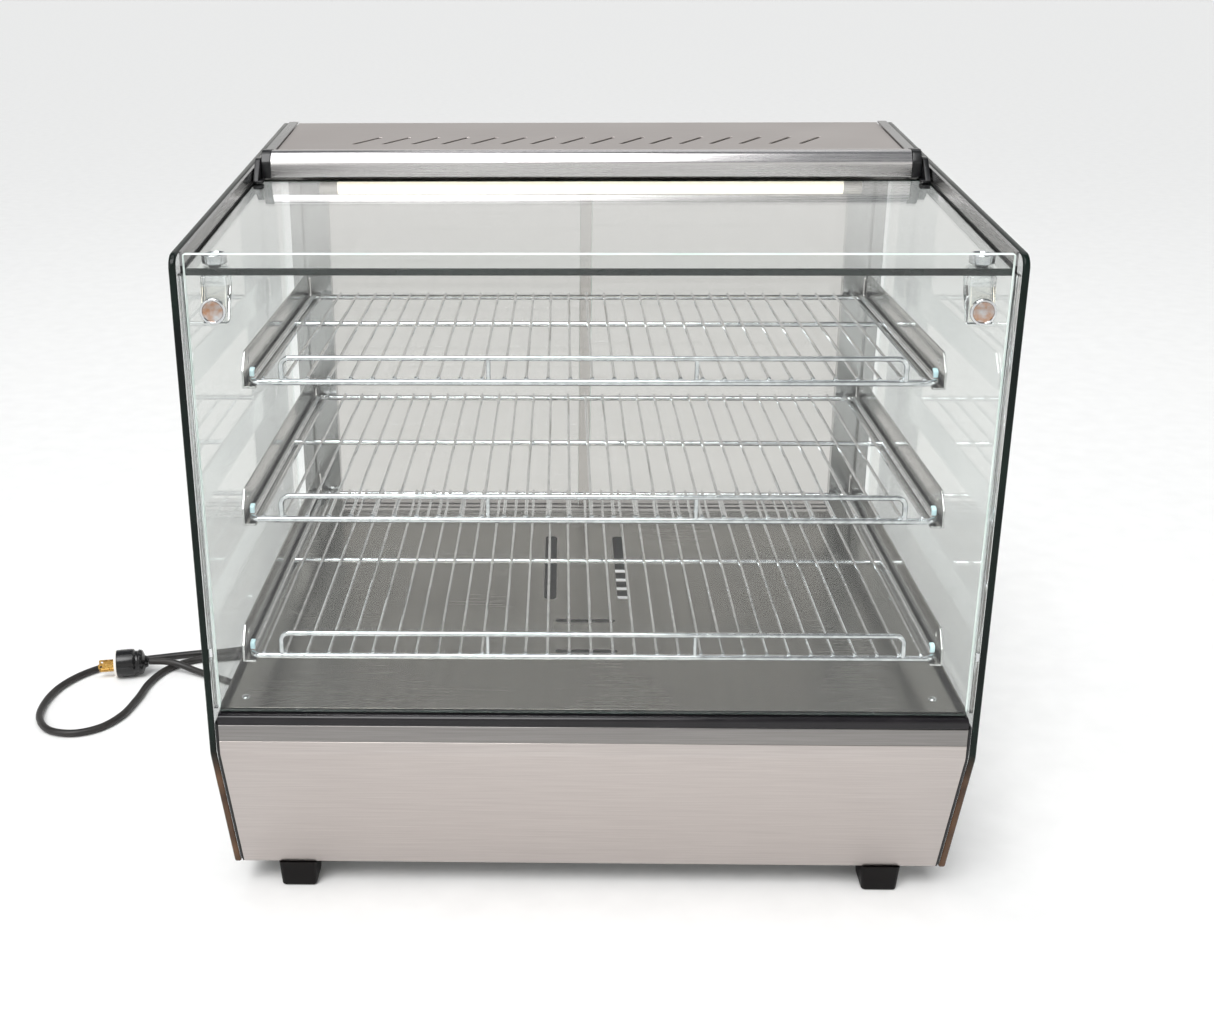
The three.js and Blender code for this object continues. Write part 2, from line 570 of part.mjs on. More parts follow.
function buildShelf({ name, z, front }) {
  const r = FRAME_ROD / 2;
  const loop = (grow, ShapeClass) => {
    const x = SHELF_HALF + grow;
    return outline([
      [-x, front - grow, 9 + grow], [x, front - grow, 9 + grow],
      [x, SHELF_REAR + grow, 9 + grow], [-x, SHELF_REAR + grow, 9 + grow],
    ], ShapeClass);
  };
  const frame = loop(r);
  frame.holes.push(loop(-r, THREE.Path));
  const parts = [alongZ(frame, z - r, z + r)];
  const middle = front + MIDDLE_ROD;
  if (middle < SHELF_REAR - 40) {
    parts.push(box(-SHELF_HALF, SHELF_HALF, middle - r, middle + r, z - r + 0.4, z + r - 0.3));
  }
  const count = 2 * Math.floor((SHELF_HALF - 8) / WIRE_PITCH) + 1;
  for (let i = 0; i < count; i++) {
    const x = (i - (count - 1) / 2) * WIRE_PITCH;
    parts.push(box(x - WIRE / 2, x + WIRE / 2, front - 1, SHELF_REAR + 1, z + r - 0.6, z + r - 0.6 + WIRE));
  }
  const guardHalf = SHELF_HALF - GUARD_INSET;
  const guardTop = z + GUARD_HEIGHT;
  const guardLine = [[z, guardHalf], [guardTop, guardHalf], [guardTop, -guardHalf], [z, -guardHalf]];
  parts.push(alongY(bentSheet(guardLine, GUARD_ROD), front - GUARD_ROD / 2, front + GUARD_ROD / 2));
  for (const x of [-guardHalf / 3, guardHalf / 3]) {
    parts.push(box(x - 2, x + 2, front - 2, front + 2, z, guardTop + 1));
  }
  add(`shelf_${name}`, join(...parts), 'chrome');
}

function buildShelfArms({ name, z, front }) {
  const low = z - FRAME_ROD / 2 - GAP - ARM_SHEET;
  const rear = REAR - POST_FRONT;
  const plate = [
    [front - 4, low], [rear - 1, low], [rear - 1, z], [rear + 12.5, z], [rear + 12.5, z + 17],
    [rear - 1, z + 17], [rear - 1, low + ARM_HEIGHT],
    [front + 10, low + ARM_HEIGHT], [front - 4, low + ARM_HEIGHT - 16],
  ];
  bothSides((sign, side) => {
    const upright = alongX(plate, ...sideSpan(sign, ARM_X, ARM_X + ARM_SHEET));
    const flange = box(...sideSpan(sign, ARM_X - 10, ARM_X + 1), front - 4, rear - 1, low, low + ARM_SHEET);
    add(`shelf_arm_${name}_${side}`, join(upright, flange), 'brightSteel');
  });
}

// ---------------------------------------------------------------- heating, fan and controls
const HEATER = { x: 150, y0: FRONT + 170, y1: FRONT + 400, z: DECK_Z - 26, bend: 40, radius: 4 };
const FAN = {
  y: (HEATER.y0 + HEATER.y1) / 2 + 20, radius: 52, blades: 6,
  hubHeight: 34, motorRadius: 30, motorHeight: 50,
};

function buildInternals() {
  const { x, y0, y1, bend } = HEATER;
  const at = (px, py) => new THREE.Vector3(px, py, HEATER.z);
  const loop = new THREE.CurvePath();
  loop.add(new THREE.LineCurve3(at(-x, y1), at(-x, y0 + bend)));
  loop.add(new THREE.QuadraticBezierCurve3(at(-x, y0 + bend), at(-x, y0), at(-x + bend, y0)));
  loop.add(new THREE.LineCurve3(at(-x + bend, y0), at(x - bend, y0)));
  loop.add(new THREE.QuadraticBezierCurve3(at(x - bend, y0), at(x, y0), at(x, y0 + bend)));
  loop.add(new THREE.LineCurve3(at(x, y0 + bend), at(x, y1)));
  add('heating_element', tube(loop, HEATER.radius, 8, 36), 'copper');

  const motorZ = PAN_TOP + GAP;
  const motor = cylinder(FAN.motorRadius, FAN.motorHeight, 24, 'z');
  add('fan_motor', motor.translate(0, FAN.y, motorZ + FAN.motorHeight / 2), 'black');
  const hubZ = motorZ + FAN.motorHeight + 1;
  const blades = Array.from({ length: FAN.blades }, (_, i) => {
    const blade = box(0, FAN.radius, -1.5, 1.5, hubZ + 3, hubZ + 33);
    return blade.rotateZ(i * 2 * Math.PI / FAN.blades).translate(0, FAN.y, 0);
  });
  const hub = cylinder(12, FAN.hubHeight, 16, 'z').translate(0, FAN.y, hubZ + FAN.hubHeight / 2);
  add('fan_impeller', join(hub, ...blades), 'aluminium');

  const back = REAR_PANEL_Y - SHEET - GAP;
  const thermostat = box(KNOB.x - 20, KNOB.x + 20, back - 34, back - 6, CONTROL_Z - 18, CONTROL_Z + 18);
  add('thermostat', thermostat, 'ceramic');
  const terminals = box(GLAND.x - 75, GLAND.x - 15, back - 60, back - 38, PAN_TOP + GAP, PAN_TOP + 22);
  add('terminal_block', terminals, 'ceramic');

  const shaft = cylinder(KNOB.shaft, 12, 16, 'y').translate(KNOB.x, REAR_PANEL_Y - 1, CONTROL_Z);
  const dialY = REAR_PANEL_Y + GAP + 1 + KNOB.depth / 2;
  const dial = cylinder(KNOB.radius, KNOB.depth, 32, 'y').translate(KNOB.x, dialY, CONTROL_Z);
  const ridge = box(-3, 3, REAR_PANEL_Y + 10, REAR_PANEL_Y + 17.5, 0, 18).translate(KNOB.x, 0, CONTROL_Z);
  add('thermostat_knob', join(shaft, dial, ridge), 'black');

  for (const { name, x: sx } of SWITCHES) {
    const { width, height } = SWITCH;
    const rocker = alongX([
      [4, -height / 2 + 0.6], [6.5, 0], [4, height / 2 - 0.6], [-7, height / 3], [-7, -height / 3],
    ], -width / 2, width / 2).rotateX(-8 * Math.PI / 180);
    add(name, rocker.translate(sx, REAR_PANEL_Y, CONTROL_Z), 'black');
  }
}

// ---------------------------------------------------------------- mains lead
function tube(path, radius, sides, steps) {
  const ring = new THREE.Shape();
  for (let i = 0; i < sides; i++) {
    const a = 2 * Math.PI * (i + 0.5) / sides;
    ring[i ? 'lineTo' : 'moveTo'](radius * Math.cos(a), radius * Math.sin(a));
  }
  ring.closePath();
  return new THREE.ExtrudeGeometry(ring, { extrudePath: path, steps, bevelEnabled: false });
}

const RELIEF = 30;             // length of the tapered tail on the strain relief
const PLUG = { tip: [-624, 229], tail: [-555, 242], z: 18, radius: 17.5, pins: 28 };

// From the strain relief, down to the table, along the rear, round a loop beside the case and
// back to the plug. Each point is x, y and height of the cord's centre.
const CORD_POINTS = [
  [235, 299, 55], [235, 315, 54.5], [233.5, 332, 51.5], [227, 350, 45], [213, 364, 36],
  [191, 372, 24], [162, 374, 12], [128, 372, 6], [94, 371, 4.8], [-140, 362, 4.8],
  [-330, 350, 4.8], [-400, 332, 4.8], [-462, 305, 4.8],
  [-532, 286, 4.8], [-592, 266, 4.8], [-630, 239, 4.8], [-654, 199, 4.8],
  [-661, 152, 4.8], [-654, 110, 4.8], [-633, 82, 4.8], [-603, 75, 4.8], [-576, 88, 4.8],
  [-558, 118, 4.8], [-550, 162, 4.8], [-546, 208, 4.8], [-533, 246, 4.8], [-504, 273, 4.8],
  [-462, 285, 4.8], [-428, 289.5, 4.8], [-403, 289, 4.8], [-381, 282, 4.8],
  [-364.8, 266.8, 4.8], [-359, 245, 4.8], [-364.8, 223.3, 4.8], [-381, 207.5, 4.8], [-404, 202, 4.8],
  [-436, 207.5, 4.8], [-488, 234, 6.8], [-526, 246, 14.5], [-554.5, 242.2, 18],
];

function buildLead() {
  const gland = cylinder(GLAND.thread, 12, 12, 'y').translate(GLAND.x, REAR_PANEL_Y + GAP - 4, GLAND.z);
  const collar = cylinder(GLAND.collar, 4, 12, 'y').translate(GLAND.x, REAR_PANEL_Y + GAP + 2, GLAND.z);
  const tail = new THREE.CylinderGeometry(5.6, CORD, RELIEF, 12);
  tail.translate(GLAND.x, REAR_PANEL_Y + 3 + RELIEF / 2, GLAND.z);
  add('strain_relief', join(gland, collar, tail), 'rubber');

  const start = REAR_PANEL_Y + 3 + RELIEF + GAP;
  const points = CORD_POINTS.map(([x, y, z]) => new THREE.Vector3(x, y, z));
  points[0].y = start;
  const path = new THREE.CatmullRomCurve3(points, false, 'centripetal');
  path.arcLengthDivisions = 2000;
  add('power_cord', tube(path, CORD / 2, 8, 80), 'rubber');

  const axis = new THREE.Vector2(PLUG.tail[0] - PLUG.tip[0], PLUG.tail[1] - PLUG.tip[1]);
  const length = axis.length();
  const body = cylinder(PLUG.radius, length - PLUG.pins, 16, 'x').translate((PLUG.pins + length) / 2, 0, 0);
  const blade = (v) => box(8, PLUG.pins + 2, v - 0.8, v + 0.8, -3.2, 3.2);
  const earth = cylinder(2.4, 22, 8, 'x').translate(19, 0, -8);
  const plug = join(body, blade(-6.3), blade(6.3), earth);
  plug.rotateZ(axis.angle()).translate(...PLUG.tip, PLUG.z);
  add('mains_plug', plug, 'black');
}

buildSides();
buildFrontOfBase();
buildDeck();
buildRearPanel();
buildBase();
buildTopHousing();
buildRear();
buildLiftGlass();
SHELVES.forEach(buildShelf);
SHELVES.forEach(buildShelfArms);
buildInternals();
buildLead();

export default caseGroup;
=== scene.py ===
# %% [markdown]
# # A countertop hot food display case
# A square glass showcase stands on a heated stainless base. The front and the top glass lift
# together on two hinges, three chromed wire shelves rest on folded arms, and two doors slide at
# the back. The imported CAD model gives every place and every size, and this lesson gives
# each piece its real surface: bent sheet with true bend radii, ground glass edges, round wire,
# moulded plastic. Everything is computed in millimetres and turned to metres in one place.

# %% Load the fixed frame
from math import cos, pi, radians, sin

import bmesh
import bpy
import numpy as np
from mathutils import Matrix, Vector
from mathutils.geometry import tessellate_polygon


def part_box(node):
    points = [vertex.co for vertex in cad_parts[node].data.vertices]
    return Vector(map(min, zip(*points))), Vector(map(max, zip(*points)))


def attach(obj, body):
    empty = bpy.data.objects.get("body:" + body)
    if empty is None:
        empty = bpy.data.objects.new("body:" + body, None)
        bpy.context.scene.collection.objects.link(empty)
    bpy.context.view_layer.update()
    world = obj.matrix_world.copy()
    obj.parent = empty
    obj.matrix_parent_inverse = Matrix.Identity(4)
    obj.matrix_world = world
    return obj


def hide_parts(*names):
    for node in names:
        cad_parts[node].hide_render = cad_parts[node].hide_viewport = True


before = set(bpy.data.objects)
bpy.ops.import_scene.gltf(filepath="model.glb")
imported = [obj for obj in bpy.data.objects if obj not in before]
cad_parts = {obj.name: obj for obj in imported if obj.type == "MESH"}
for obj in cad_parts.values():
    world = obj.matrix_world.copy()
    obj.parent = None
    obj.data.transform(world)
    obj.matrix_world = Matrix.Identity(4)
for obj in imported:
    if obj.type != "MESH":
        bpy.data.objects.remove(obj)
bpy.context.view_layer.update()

MM = 0.001

# %% [markdown]
# ## The camera
# A product picture is taken from the front, a little above the case, so the deck and the tops of
# the shelves show. A camera is a place and three directions. Yaw, pitch and roll give those
# directions, and the lens shift moves the frame sideways without turning the camera, which keeps
# the upright edges of the case as they are.

# %% Camera
EYE = np.array([-28.8, -1489.9, 861.2])
YAW, PITCH, ROLL = radians(-1.27), radians(20.19), radians(-0.23)
LENS = 44.61
SHIFT = 0.0644

ahead = np.array([sin(YAW) * cos(PITCH), cos(YAW) * cos(PITCH), -sin(PITCH)])
level = np.array([cos(YAW), -sin(YAW), 0.0])
upright = np.cross(level, ahead)
right = level * cos(ROLL) + upright * sin(ROLL)
up = upright * cos(ROLL) - level * sin(ROLL)
camera = bpy.data.objects.new("camera", bpy.data.cameras.new("camera"))
camera.data.sensor_width = 36
camera.data.lens = LENS
camera.data.shift_x = SHIFT
camera.matrix_world = Matrix([
    (right[k], up[k], -ahead[k], EYE[k] * MM) for k in range(3)
] + [(0, 0, 0, 1)])
bpy.context.scene.collection.objects.link(camera)
bpy.context.scene.camera = camera
print("camera looks along", ahead.round(3))

# %% [markdown]
# ## Building blocks
# Three ways of making a surface cover almost every piece of this case:
# - a **plate** carries a flat outline straight through and rounds both rims, which is how glass,
#   folded sheet and extruded bars look when they are cut and deburred;
# - a **tube** carries a circle along a path, which is how wire and cord are made;
# - a **turned** piece spins a profile round an axis, as on a lathe.
# Each returns plain arrays, so a piece can be put together from several before Blender sees it.

# %% Outlines and paths
def rounded(corners, closed=True, steps=6):
    """Replaces each corner by a circular arc tangent to both of its sides.

    A corner is (place..., radius). The arc starts radius / tan(half the angle) before the corner,
    and slides from the first spoke to the last by spherical interpolation round its centre."""
    table = np.array(corners, float)
    place, radius = table[:, :-1], table[:, -1:]
    back = np.roll(place, 1, 0) - place
    on = np.roll(place, -1, 0) - place
    back = back / np.maximum(np.linalg.norm(back, axis=1, keepdims=True), 1e-9)
    on = on / np.maximum(np.linalg.norm(on, axis=1, keepdims=True), 1e-9)
    if not closed:
        radius[[0, -1]] = 0
    half = 0.5 * np.arccos(np.clip((back * on).sum(1, keepdims=True), -1, 1))
    half = np.clip(half, 1e-4, pi / 2 - 1e-6)
    middle = back + on
    middle = middle / np.maximum(np.linalg.norm(middle, axis=1, keepdims=True), 1e-9)
    centre = place + middle * radius / np.sin(half)
    first = place + back * radius / np.tan(half) - centre
    last = place + on * radius / np.tan(half) - centre
    turn = (pi - 2 * half)[:, None]
    share = np.linspace(0, 1, steps + 1)[None, :, None]
    arc = np.sin((1 - share) * turn) * first[:, None] + np.sin(share * turn) * last[:, None]
    points = (centre[:, None] + arc / np.maximum(np.sin(turn), 1e-9)).reshape(-1, place.shape[1])
    far = np.linalg.norm(points - np.roll(points, 1, 0), axis=1) > 1e-4
    far[0] = far[0] or not closed
    return points[far]


def oblong(u, v, radius, steps=6):
    """A rectangle between two limits across and two limits up. Its corners have one radius, or
    four radii that go round from the lowest corner."""
    corners = [(u[0], v[0]), (u[1], v[0]), (u[1], v[1]), (u[0], v[1])]
    radii = np.broadcast_to(radius, len(corners))
    return rounded([(*corner, r) for corner, r in zip(corners, radii)], steps=steps)


def circle(u, v, radius, count=24):
    """Points at equal angles round (u, v)."""
    angle = np.arange(count) * 2 * pi / count
    return np.stack([u + radius * np.cos(angle), v + radius * np.sin(angle)], 1)


def normals(line, closed):
    """Unit normals of a flat line, on its left, lengthened at corners so that an offset keeps its width."""
    on = np.roll(line, -1, 0) - line
    if not closed:
        on[-1] = on[-2]
    on = on / np.maximum(np.linalg.norm(on, axis=1, keepdims=True), 1e-9)
    back = np.roll(on, 1, 0)
    if not closed:
        back[0] = on[0]
    left = np.stack([-(on + back)[:, 1], (on + back)[:, 0]], 1)
    left = left / np.maximum(np.linalg.norm(left, axis=1, keepdims=True), 1e-9)
    straight = (left * np.stack([-on[:, 1], on[:, 0]], 1)).sum(1, keepdims=True)
    return left / np.maximum(straight, 0.5)


def folded(line, thickness, steps=5):
    """A sheet's section: the bent line, and back along its copy one thickness to the left."""
    outer = rounded(line, closed=False, steps=steps)
    return np.vstack([outer, (outer + normals(outer, False) * thickness)[::-1]])


# %% Surfaces as arrays
def grid(points, wrap_u=False, wrap_v=False, smooth=True, finish=0):
    """A sheet of quads over points[u, v]; a wrapped direction joins its last row to its first."""
    rows, columns = points.shape[:2]
    index = np.arange(rows * columns).reshape(rows, columns)
    if wrap_u:
        index = np.vstack([index, index[:1]])
    if wrap_v:
        index = np.hstack([index, index[:, :1]])
    faces = np.stack([index[:-1, :-1], index[1:, :-1], index[1:, 1:], index[:-1, 1:]], -1)
    return points.reshape(-1, 3), faces.reshape(-1, 4).tolist(), smooth, finish


def tube(path, radius, sides=14, beside=(0, 0, 1), closed=False, finish=0):
    """A circle carried along a path: point = path + radius (cos a * side + sin a * over),
    where side is square to the path and to the direction beside, and over to both."""
    path = np.asarray(path, float)
    along = np.roll(path, -1, 0) - np.roll(path, 1, 0)
    if not closed:
        along[0], along[-1] = path[1] - path[0], path[-1] - path[-2]
    along /= np.linalg.norm(along, axis=1, keepdims=True)
    side = np.cross(along, np.array(beside, float))
    side /= np.linalg.norm(side, axis=1, keepdims=True)
    over = np.cross(side, along)
    angle = np.arange(sides) * 2 * pi / sides
    reach = np.broadcast_to(np.asarray(radius, float), len(path))[:, None, None]
    ring = np.cos(angle)[None, :, None] * side[:, None] + np.sin(angle)[None, :, None] * over[:, None]
    points = path[:, None] + reach * ring
    parts = [grid(points, wrap_u=closed, wrap_v=True, finish=finish)]
    if not closed:
        parts += [(points[end], [list(range(sides))], False, finish) for end in (0, -1)]
    return parts


AXES = {"x": (1, 2, 0), "y": (2, 0, 1), "z": (0, 1, 2)}


def widest_rim(loop):
    """How far a loop can be drawn in before a side vanishes: nine tenths of
    length / (tan a/2 + tan b/2), where a and b are the turns at the side's two ends."""
    on = np.roll(loop, -1, 0) - loop
    length = np.linalg.norm(on, axis=1)
    back = np.roll(on, 1, 0)
    turn = np.arctan2(back[:, 0] * on[:, 1] - back[:, 1] * on[:, 0], (back * on).sum(1))
    pull = np.tan(turn / 2)
    pull = pull + np.roll(pull, -1)
    closing = pull > 1e-6
    return 0.9 * (length[closing] / pull[closing]).min() if closing.any() else 1e9


def turned(profile, centre, axis, sides=32, finish=0):
    """A profile of (radius, height) points spun round an axis: point = centre + height * axis
    + radius (cos a, sin a) in the plane across it. Its ends lie on the axis, so it is closed."""
    profile = np.asarray(profile, float)
    angle = np.arange(sides) * 2 * pi / sides
    u, v, w = AXES[axis]
    points = np.zeros((len(profile), sides, 3))
    points[..., u] = profile[:, :1] * np.cos(angle)
    points[..., v] = profile[:, :1] * np.sin(angle)
    points[..., w] = profile[:, 1:]
    return [grid(points + np.array(centre, float), wrap_v=True, finish=finish)]


def plate(outline, low, high, axis, holes=(), edge=0.4, steps=3, finish=0, rim=None):
    """A flat outline carried from low to high along an axis, with round rims and through holes.

    Ring k of a rim lies edge (1 - sin a) inside the outline and edge (1 - cos a) from the face,
    a from 0 to 90 degrees. The faces between the innermost rings are filled flat."""
    rim = finish if rim is None else rim
    u, v, w = AXES[axis]
    bow = np.linspace(0, pi / 2, steps + 1)
    wound = []
    for loop, is_hole in [(outline, False)] + [(hole, True) for hole in holes]:
        loop = np.asarray(loop, float)[:, :2]
        turns = np.roll(loop, -1, 0)
        area = (loop[:, 0] * turns[:, 1] - loop[:, 1] * turns[:, 0]).sum()
        wound.append(loop[::-1] if (area < 0) != is_hole else loop)
        edge = min(edge, widest_rim(wound[-1]))
    inset = edge * (1 - np.sin(bow))
    rise = edge * (1 - np.cos(bow))
    inset, height = np.append(inset, inset[::-1]), np.append(low + rise, (high - rise)[::-1])
    parts, loops = [], []
    for loop in wound:
        ring = loop[None] + inset[:, None, None] * normals(loop, True)[None]
        points = np.zeros((len(height), len(loop), 3))
        points[..., u], points[..., v], points[..., w] = ring[..., 0], ring[..., 1], height[:, None]
        parts.append(grid(points, wrap_v=True, finish=rim))
        loops.append(points)
    for end in (0, -1):
        flat = [[Vector((p[u], p[v], 0)) for p in loop[end]] for loop in loops]
        triangles = [list(t) for t in tessellate_polygon(flat)]
        parts.append((np.vstack([loop[end] for loop in loops]), triangles, False, finish))
    return parts


def placed(parts, turn=None, shift=(0, 0, 0)):
    """The parts turned by a 3 x 3 matrix, then moved."""
    turn = np.eye(3) if turn is None else np.array(turn, float)
    return [(np.asarray(p) @ turn.T + np.array(shift, float), f, s, m) for p, f, s, m in parts]


def spin(axis, degrees):
    """The 3 x 3 matrix that turns by so many degrees about an axis."""
    return np.array(Matrix.Rotation(radians(degrees), 3, axis))


# %% From arrays to a riding piece
def make(name, parts, finishes, body, stands_for=()):
    """Joins the parts into one mesh in metres, merges doubles, points the faces outwards, keeps
    edges over 35 degrees sharp, and rides it on its body."""
    points, faces, smooth, index, start = [], [], [], [], 0
    for p, f, s, m in parts:
        points.append(np.asarray(p, float))
        faces += [[start + i for i in face] for face in f]
        smooth += [s] * len(f)
        index += [m] * len(f)
        start += len(p)
    mesh = bpy.data.meshes.new(name)
    mesh.from_pydata((np.vstack(points) * MM).tolist(), [], faces)
    mesh.polygons.foreach_set("use_smooth", smooth)
    mesh.polygons.foreach_set("material_index", index)
    work = bmesh.new()
    work.from_mesh(mesh)
    bmesh.ops.remove_doubles(work, verts=work.verts, dist=2e-7)
    bmesh.ops.recalc_face_normals(work, faces=work.faces)
    work.to_mesh(mesh)
    open_edges = sum(len(edge.link_faces) != 2 for edge in work.edges)
    work.free()
    flags = [polygon.use_smooth for polygon in mesh.polygons]
    mesh.set_sharp_from_angle(angle=radians(35))
    mesh.polygons.foreach_set("use_smooth", flags)
    for finish in finishes if isinstance(finishes, list) else [finishes]:
        mesh.materials.append(finish)
    piece = bpy.data.objects.new(name, mesh)
    bpy.context.scene.collection.objects.link(piece)
    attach(piece, body)
    if stands_for:
        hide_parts(*stands_for)
    print(f"{name}: {len(mesh.polygons)} faces on {body}, {open_edges} open edges")
    return piece


def span(node):
    """The lowest and the highest corner of a CAD node, in millimetres."""
    return [np.array(corner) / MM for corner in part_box(node)]


SIDES = {"left": -1, "right": 1}


def outward(side, inner, outer):
    """A pair of x limits on one side of the case, in rising order."""
    return (inner, outer) if side == "right" else (-outer, -inner)


# %% [markdown]
# ## The studio
# The case is glass and polished steel, so most of what the eye sees is the room around it. A pale
# floor, a bright sky that darkens towards the horizon, and large soft lamps give the metal broad
# gradients, and no hard shadow.

# %% Helpers for materials
def colour(code):
    """The linear colour of an sRGB hex code."""
    parts = np.array([int(code[i:i + 2], 16) for i in (1, 3, 5)]) / 255
    linear = np.where(parts <= 0.04045, parts / 12.92, ((parts + 0.055) / 1.055) ** 2.4)
    return (*linear.tolist(), 1.0)


def add(tree, kind, inputs=None, **settings):
    """Adds a node. An input's value is a number, a colour, or the output of another node."""
    made = tree.nodes.new("ShaderNode" + kind)
    for key, value in settings.items():
        setattr(made, key, value)
    for key, value in (inputs or {}).items():
        if isinstance(value, bpy.types.NodeSocket):
            tree.links.new(value, made.inputs[key])
        else:
            made.inputs[key].default_value = value
    return made


def start_finish(name, **sockets):
    """A new material with one Principled shader, and its node tree."""
    made = bpy.data.materials.new(name)
    made.use_nodes = True
    shader = made.node_tree.nodes["Principled BSDF"]
    for key, value in sockets.items():
        shader.inputs[key.replace("_", " ")].default_value = value
    return made, made.node_tree, shader


def spots(tree, size_mm, detail=4.0, stretch=(1, 1, 1)):
    """Noise whose patches are about size_mm wide, longer along an axis by its stretch."""
    place = add(tree, "TexCoord").outputs["Object"]
    scale = [1 / (size_mm * MM * s) for s in stretch]
    mapped = add(tree, "Mapping", {"Vector": place, "Scale": scale})
    noise = add(tree, "TexNoise", {"Vector": mapped.outputs["Vector"], "Scale": 1.0, "Detail": detail})
    return noise.outputs["Fac"]


def between(tree, fac, low, high, start=0.3, end=0.7):
    """A number that goes from low to high as fac goes from start to end."""
    inputs = {"Value": fac, "From Min": start, "From Max": end, "To Min": low, "To Max": high}
    return add(tree, "MapRange", inputs).outputs["Result"]


def shade(tree, fac, dark, light, start=0.3, end=0.7):
    """A colour from one hex code to another as fac goes from start to end."""
    ramp = add(tree, "ValToRGB", {"Fac": fac})
    ramp.color_ramp.elements[0].position = start
    ramp.color_ramp.elements[1].position = end
    ramp.color_ramp.elements[0].color = colour(dark)
    ramp.color_ramp.elements[1].color = colour(light)
    return ramp.outputs["Color"]


def relief(tree, shader, height, depth_mm, strength=1.0):
    """Bumps the surface by a height pattern of a real depth."""
    bump = add(tree, "Bump", {"Height": height, "Distance": depth_mm * MM, "Strength": strength})
    tree.links.new(bump.outputs["Normal"], shader.inputs["Normal"])


# %% Floor, sky and lamps
bpy.context.scene.view_settings.view_transform = "Standard"
FLOOR_RADIUS = 60.0
paper, tree, shader = start_finish("matt_white_paper", Roughness=0.9)
tree.links.new(shade(tree, spots(tree, 40), "#f3f3f2", "#f7f7f6"), shader.inputs["Base Color"])
ring = circle(0, 0, FLOOR_RADIUS, 64)
floor_mesh = bpy.data.meshes.new("floor")
floor_mesh.from_pydata([(x, y, 0.0) for x, y in ring], [], [list(range(len(ring)))])
floor_mesh.materials.append(paper)
floor = bpy.data.objects.new("floor", floor_mesh)
bpy.context.scene.collection.objects.link(floor)

world = bpy.data.worlds.new("studio")
world.use_nodes = True
bpy.context.scene.world = world
tree = world.node_tree
sky = add(tree, "SeparateXYZ", {"Vector": add(tree, "TexCoord").outputs["Generated"]}).outputs["Z"]
glow = shade(tree, sky, "#f3f2f0", "#75787c", 0.30, 0.62)
tree.links.new(glow, tree.nodes["Background"].inputs["Color"])
tree.nodes["Background"].inputs["Strength"].default_value = 1.0

# Each lamp has its place, the point it faces and its size in metres, and its power in watts.
LAMPS = {
    "overhead": ((-0.3, -0.4, 2.6), (0, 0, 0.2), (2.0, 0.9), 14),
    "front_left": ((-2.2, -2.4, 1.9), (0, 0, 0.3), (1.4, 1.8), 10),
    "front_right": ((2.6, -1.8, 1.5), (0, 0, 0.4), (1.0, 1.8), 6),
    "behind": ((0.4, 1.9, 3.2), (0, 0, 0.5), (2.4, 1.0), 10),
}
for name, (place, target, size, power) in LAMPS.items():
    lamp = bpy.data.lights.new(name, "AREA")
    lamp.shape, lamp.size, lamp.size_y, lamp.energy = "RECTANGLE", size[0], size[1], power
    holder = bpy.data.objects.new(name, lamp)
    holder.location = place
    holder.rotation_euler = (Vector(target) - Vector(place)).to_track_quat("-Z", "Y").to_euler()
    bpy.context.scene.collection.objects.link(holder)
sun = bpy.data.objects.new("soft_sun", bpy.data.lights.new("soft_sun", "SUN"))
sun.data.energy, sun.data.angle = 2.2, radians(35)
sun.rotation_euler = (radians(32), radians(-14), 0)
bpy.context.scene.collection.objects.link(sun)
print("lamps:", sorted(LAMPS), "and a soft sun that lights the whole floor")

# %% [markdown]
# ## Metals
# Three steels are on this case, and apart from the deck's painted reflection only their grinding
# differs. The casing is stainless sheet brushed along its length: fine parallel scratches, a few
# tenths of a millimetre apart, that blur a reflection across the grain. The deck and the folded arms
# are brighter, almost mirror sheet, but the deck's base colour is darkened, a painted reflection of
# a dark interior. The shelves are drawn wire under polished chrome. A metal has no colour of its own
# under the shine, so its base colour is its reflection. The real grain is too fine for the picture,
# so it is drawn 0.8 mm wide.

# %% Metal finishes
GRAIN_MM = 0.8
GRAIN_LENGTH = 90


def brushed(name, dark, light, rough, stretch, depth=0.002):
    """Metal with scratches drawn out along one axis, in its colour, its roughness and its relief."""
    made, tree, shader = start_finish(name, Metallic=1.0)
    scratch = spots(tree, GRAIN_MM, 3.0, stretch)
    tree.links.new(shade(tree, scratch, dark, light, 0.25, 0.75), shader.inputs["Base Color"])
    handled = spots(tree, 140, 2.0)
    both = add(tree, "Math", {0: scratch, 1: handled}, operation="ADD").outputs["Value"]
    rougher = between(tree, both, rough - 0.04, rough + 0.05, 0.7, 1.3)
    tree.links.new(rougher, shader.inputs["Roughness"])
    relief(tree, shader, scratch, depth)
    return made


ALONG_X = (GRAIN_LENGTH, 1, 1)
ALONG_Y = (1, GRAIN_LENGTH, 1)
ALONG_Z = (1, 1, GRAIN_LENGTH)
BRUSHED_STEEL = brushed("brushed_stainless_sheet", "#b5adaa", "#c5beba", 0.33, ALONG_X)
# Painted reflection: the deck's base colour is darkened to stand for the dark interior it would mirror.
DECK_STEEL_PAINTED_REFLECTION = brushed("deck_sheet_painted_dark_reflection", "#908d87", "#9b9892", 0.23, ALONG_X, 0.0005)
ARM_STEEL = brushed("bright_annealed_folded_sheet", "#c2c2c0", "#cfcfcd", 0.14, ALONG_Y, 0.001)
POST_STEEL = brushed("bright_annealed_post_sheet", "#b7b7b6", "#c4c4c3", 0.2, ALONG_Z, 0.001)
RAIL_ALUMINIUM = brushed("satin_anodised_aluminium", "#cac7c7", "#d3d1d0", 0.26, ALONG_X, 0.0008)
SIDE_BAR = brushed("satin_steel_bar", "#9a9a9a", "#a6a6a6", 0.26, ALONG_Y, 0.001)
STRIP_STEEL = brushed("dull_brushed_stainless_strip", "#84817f", "#959290", 0.34, ALONG_X)


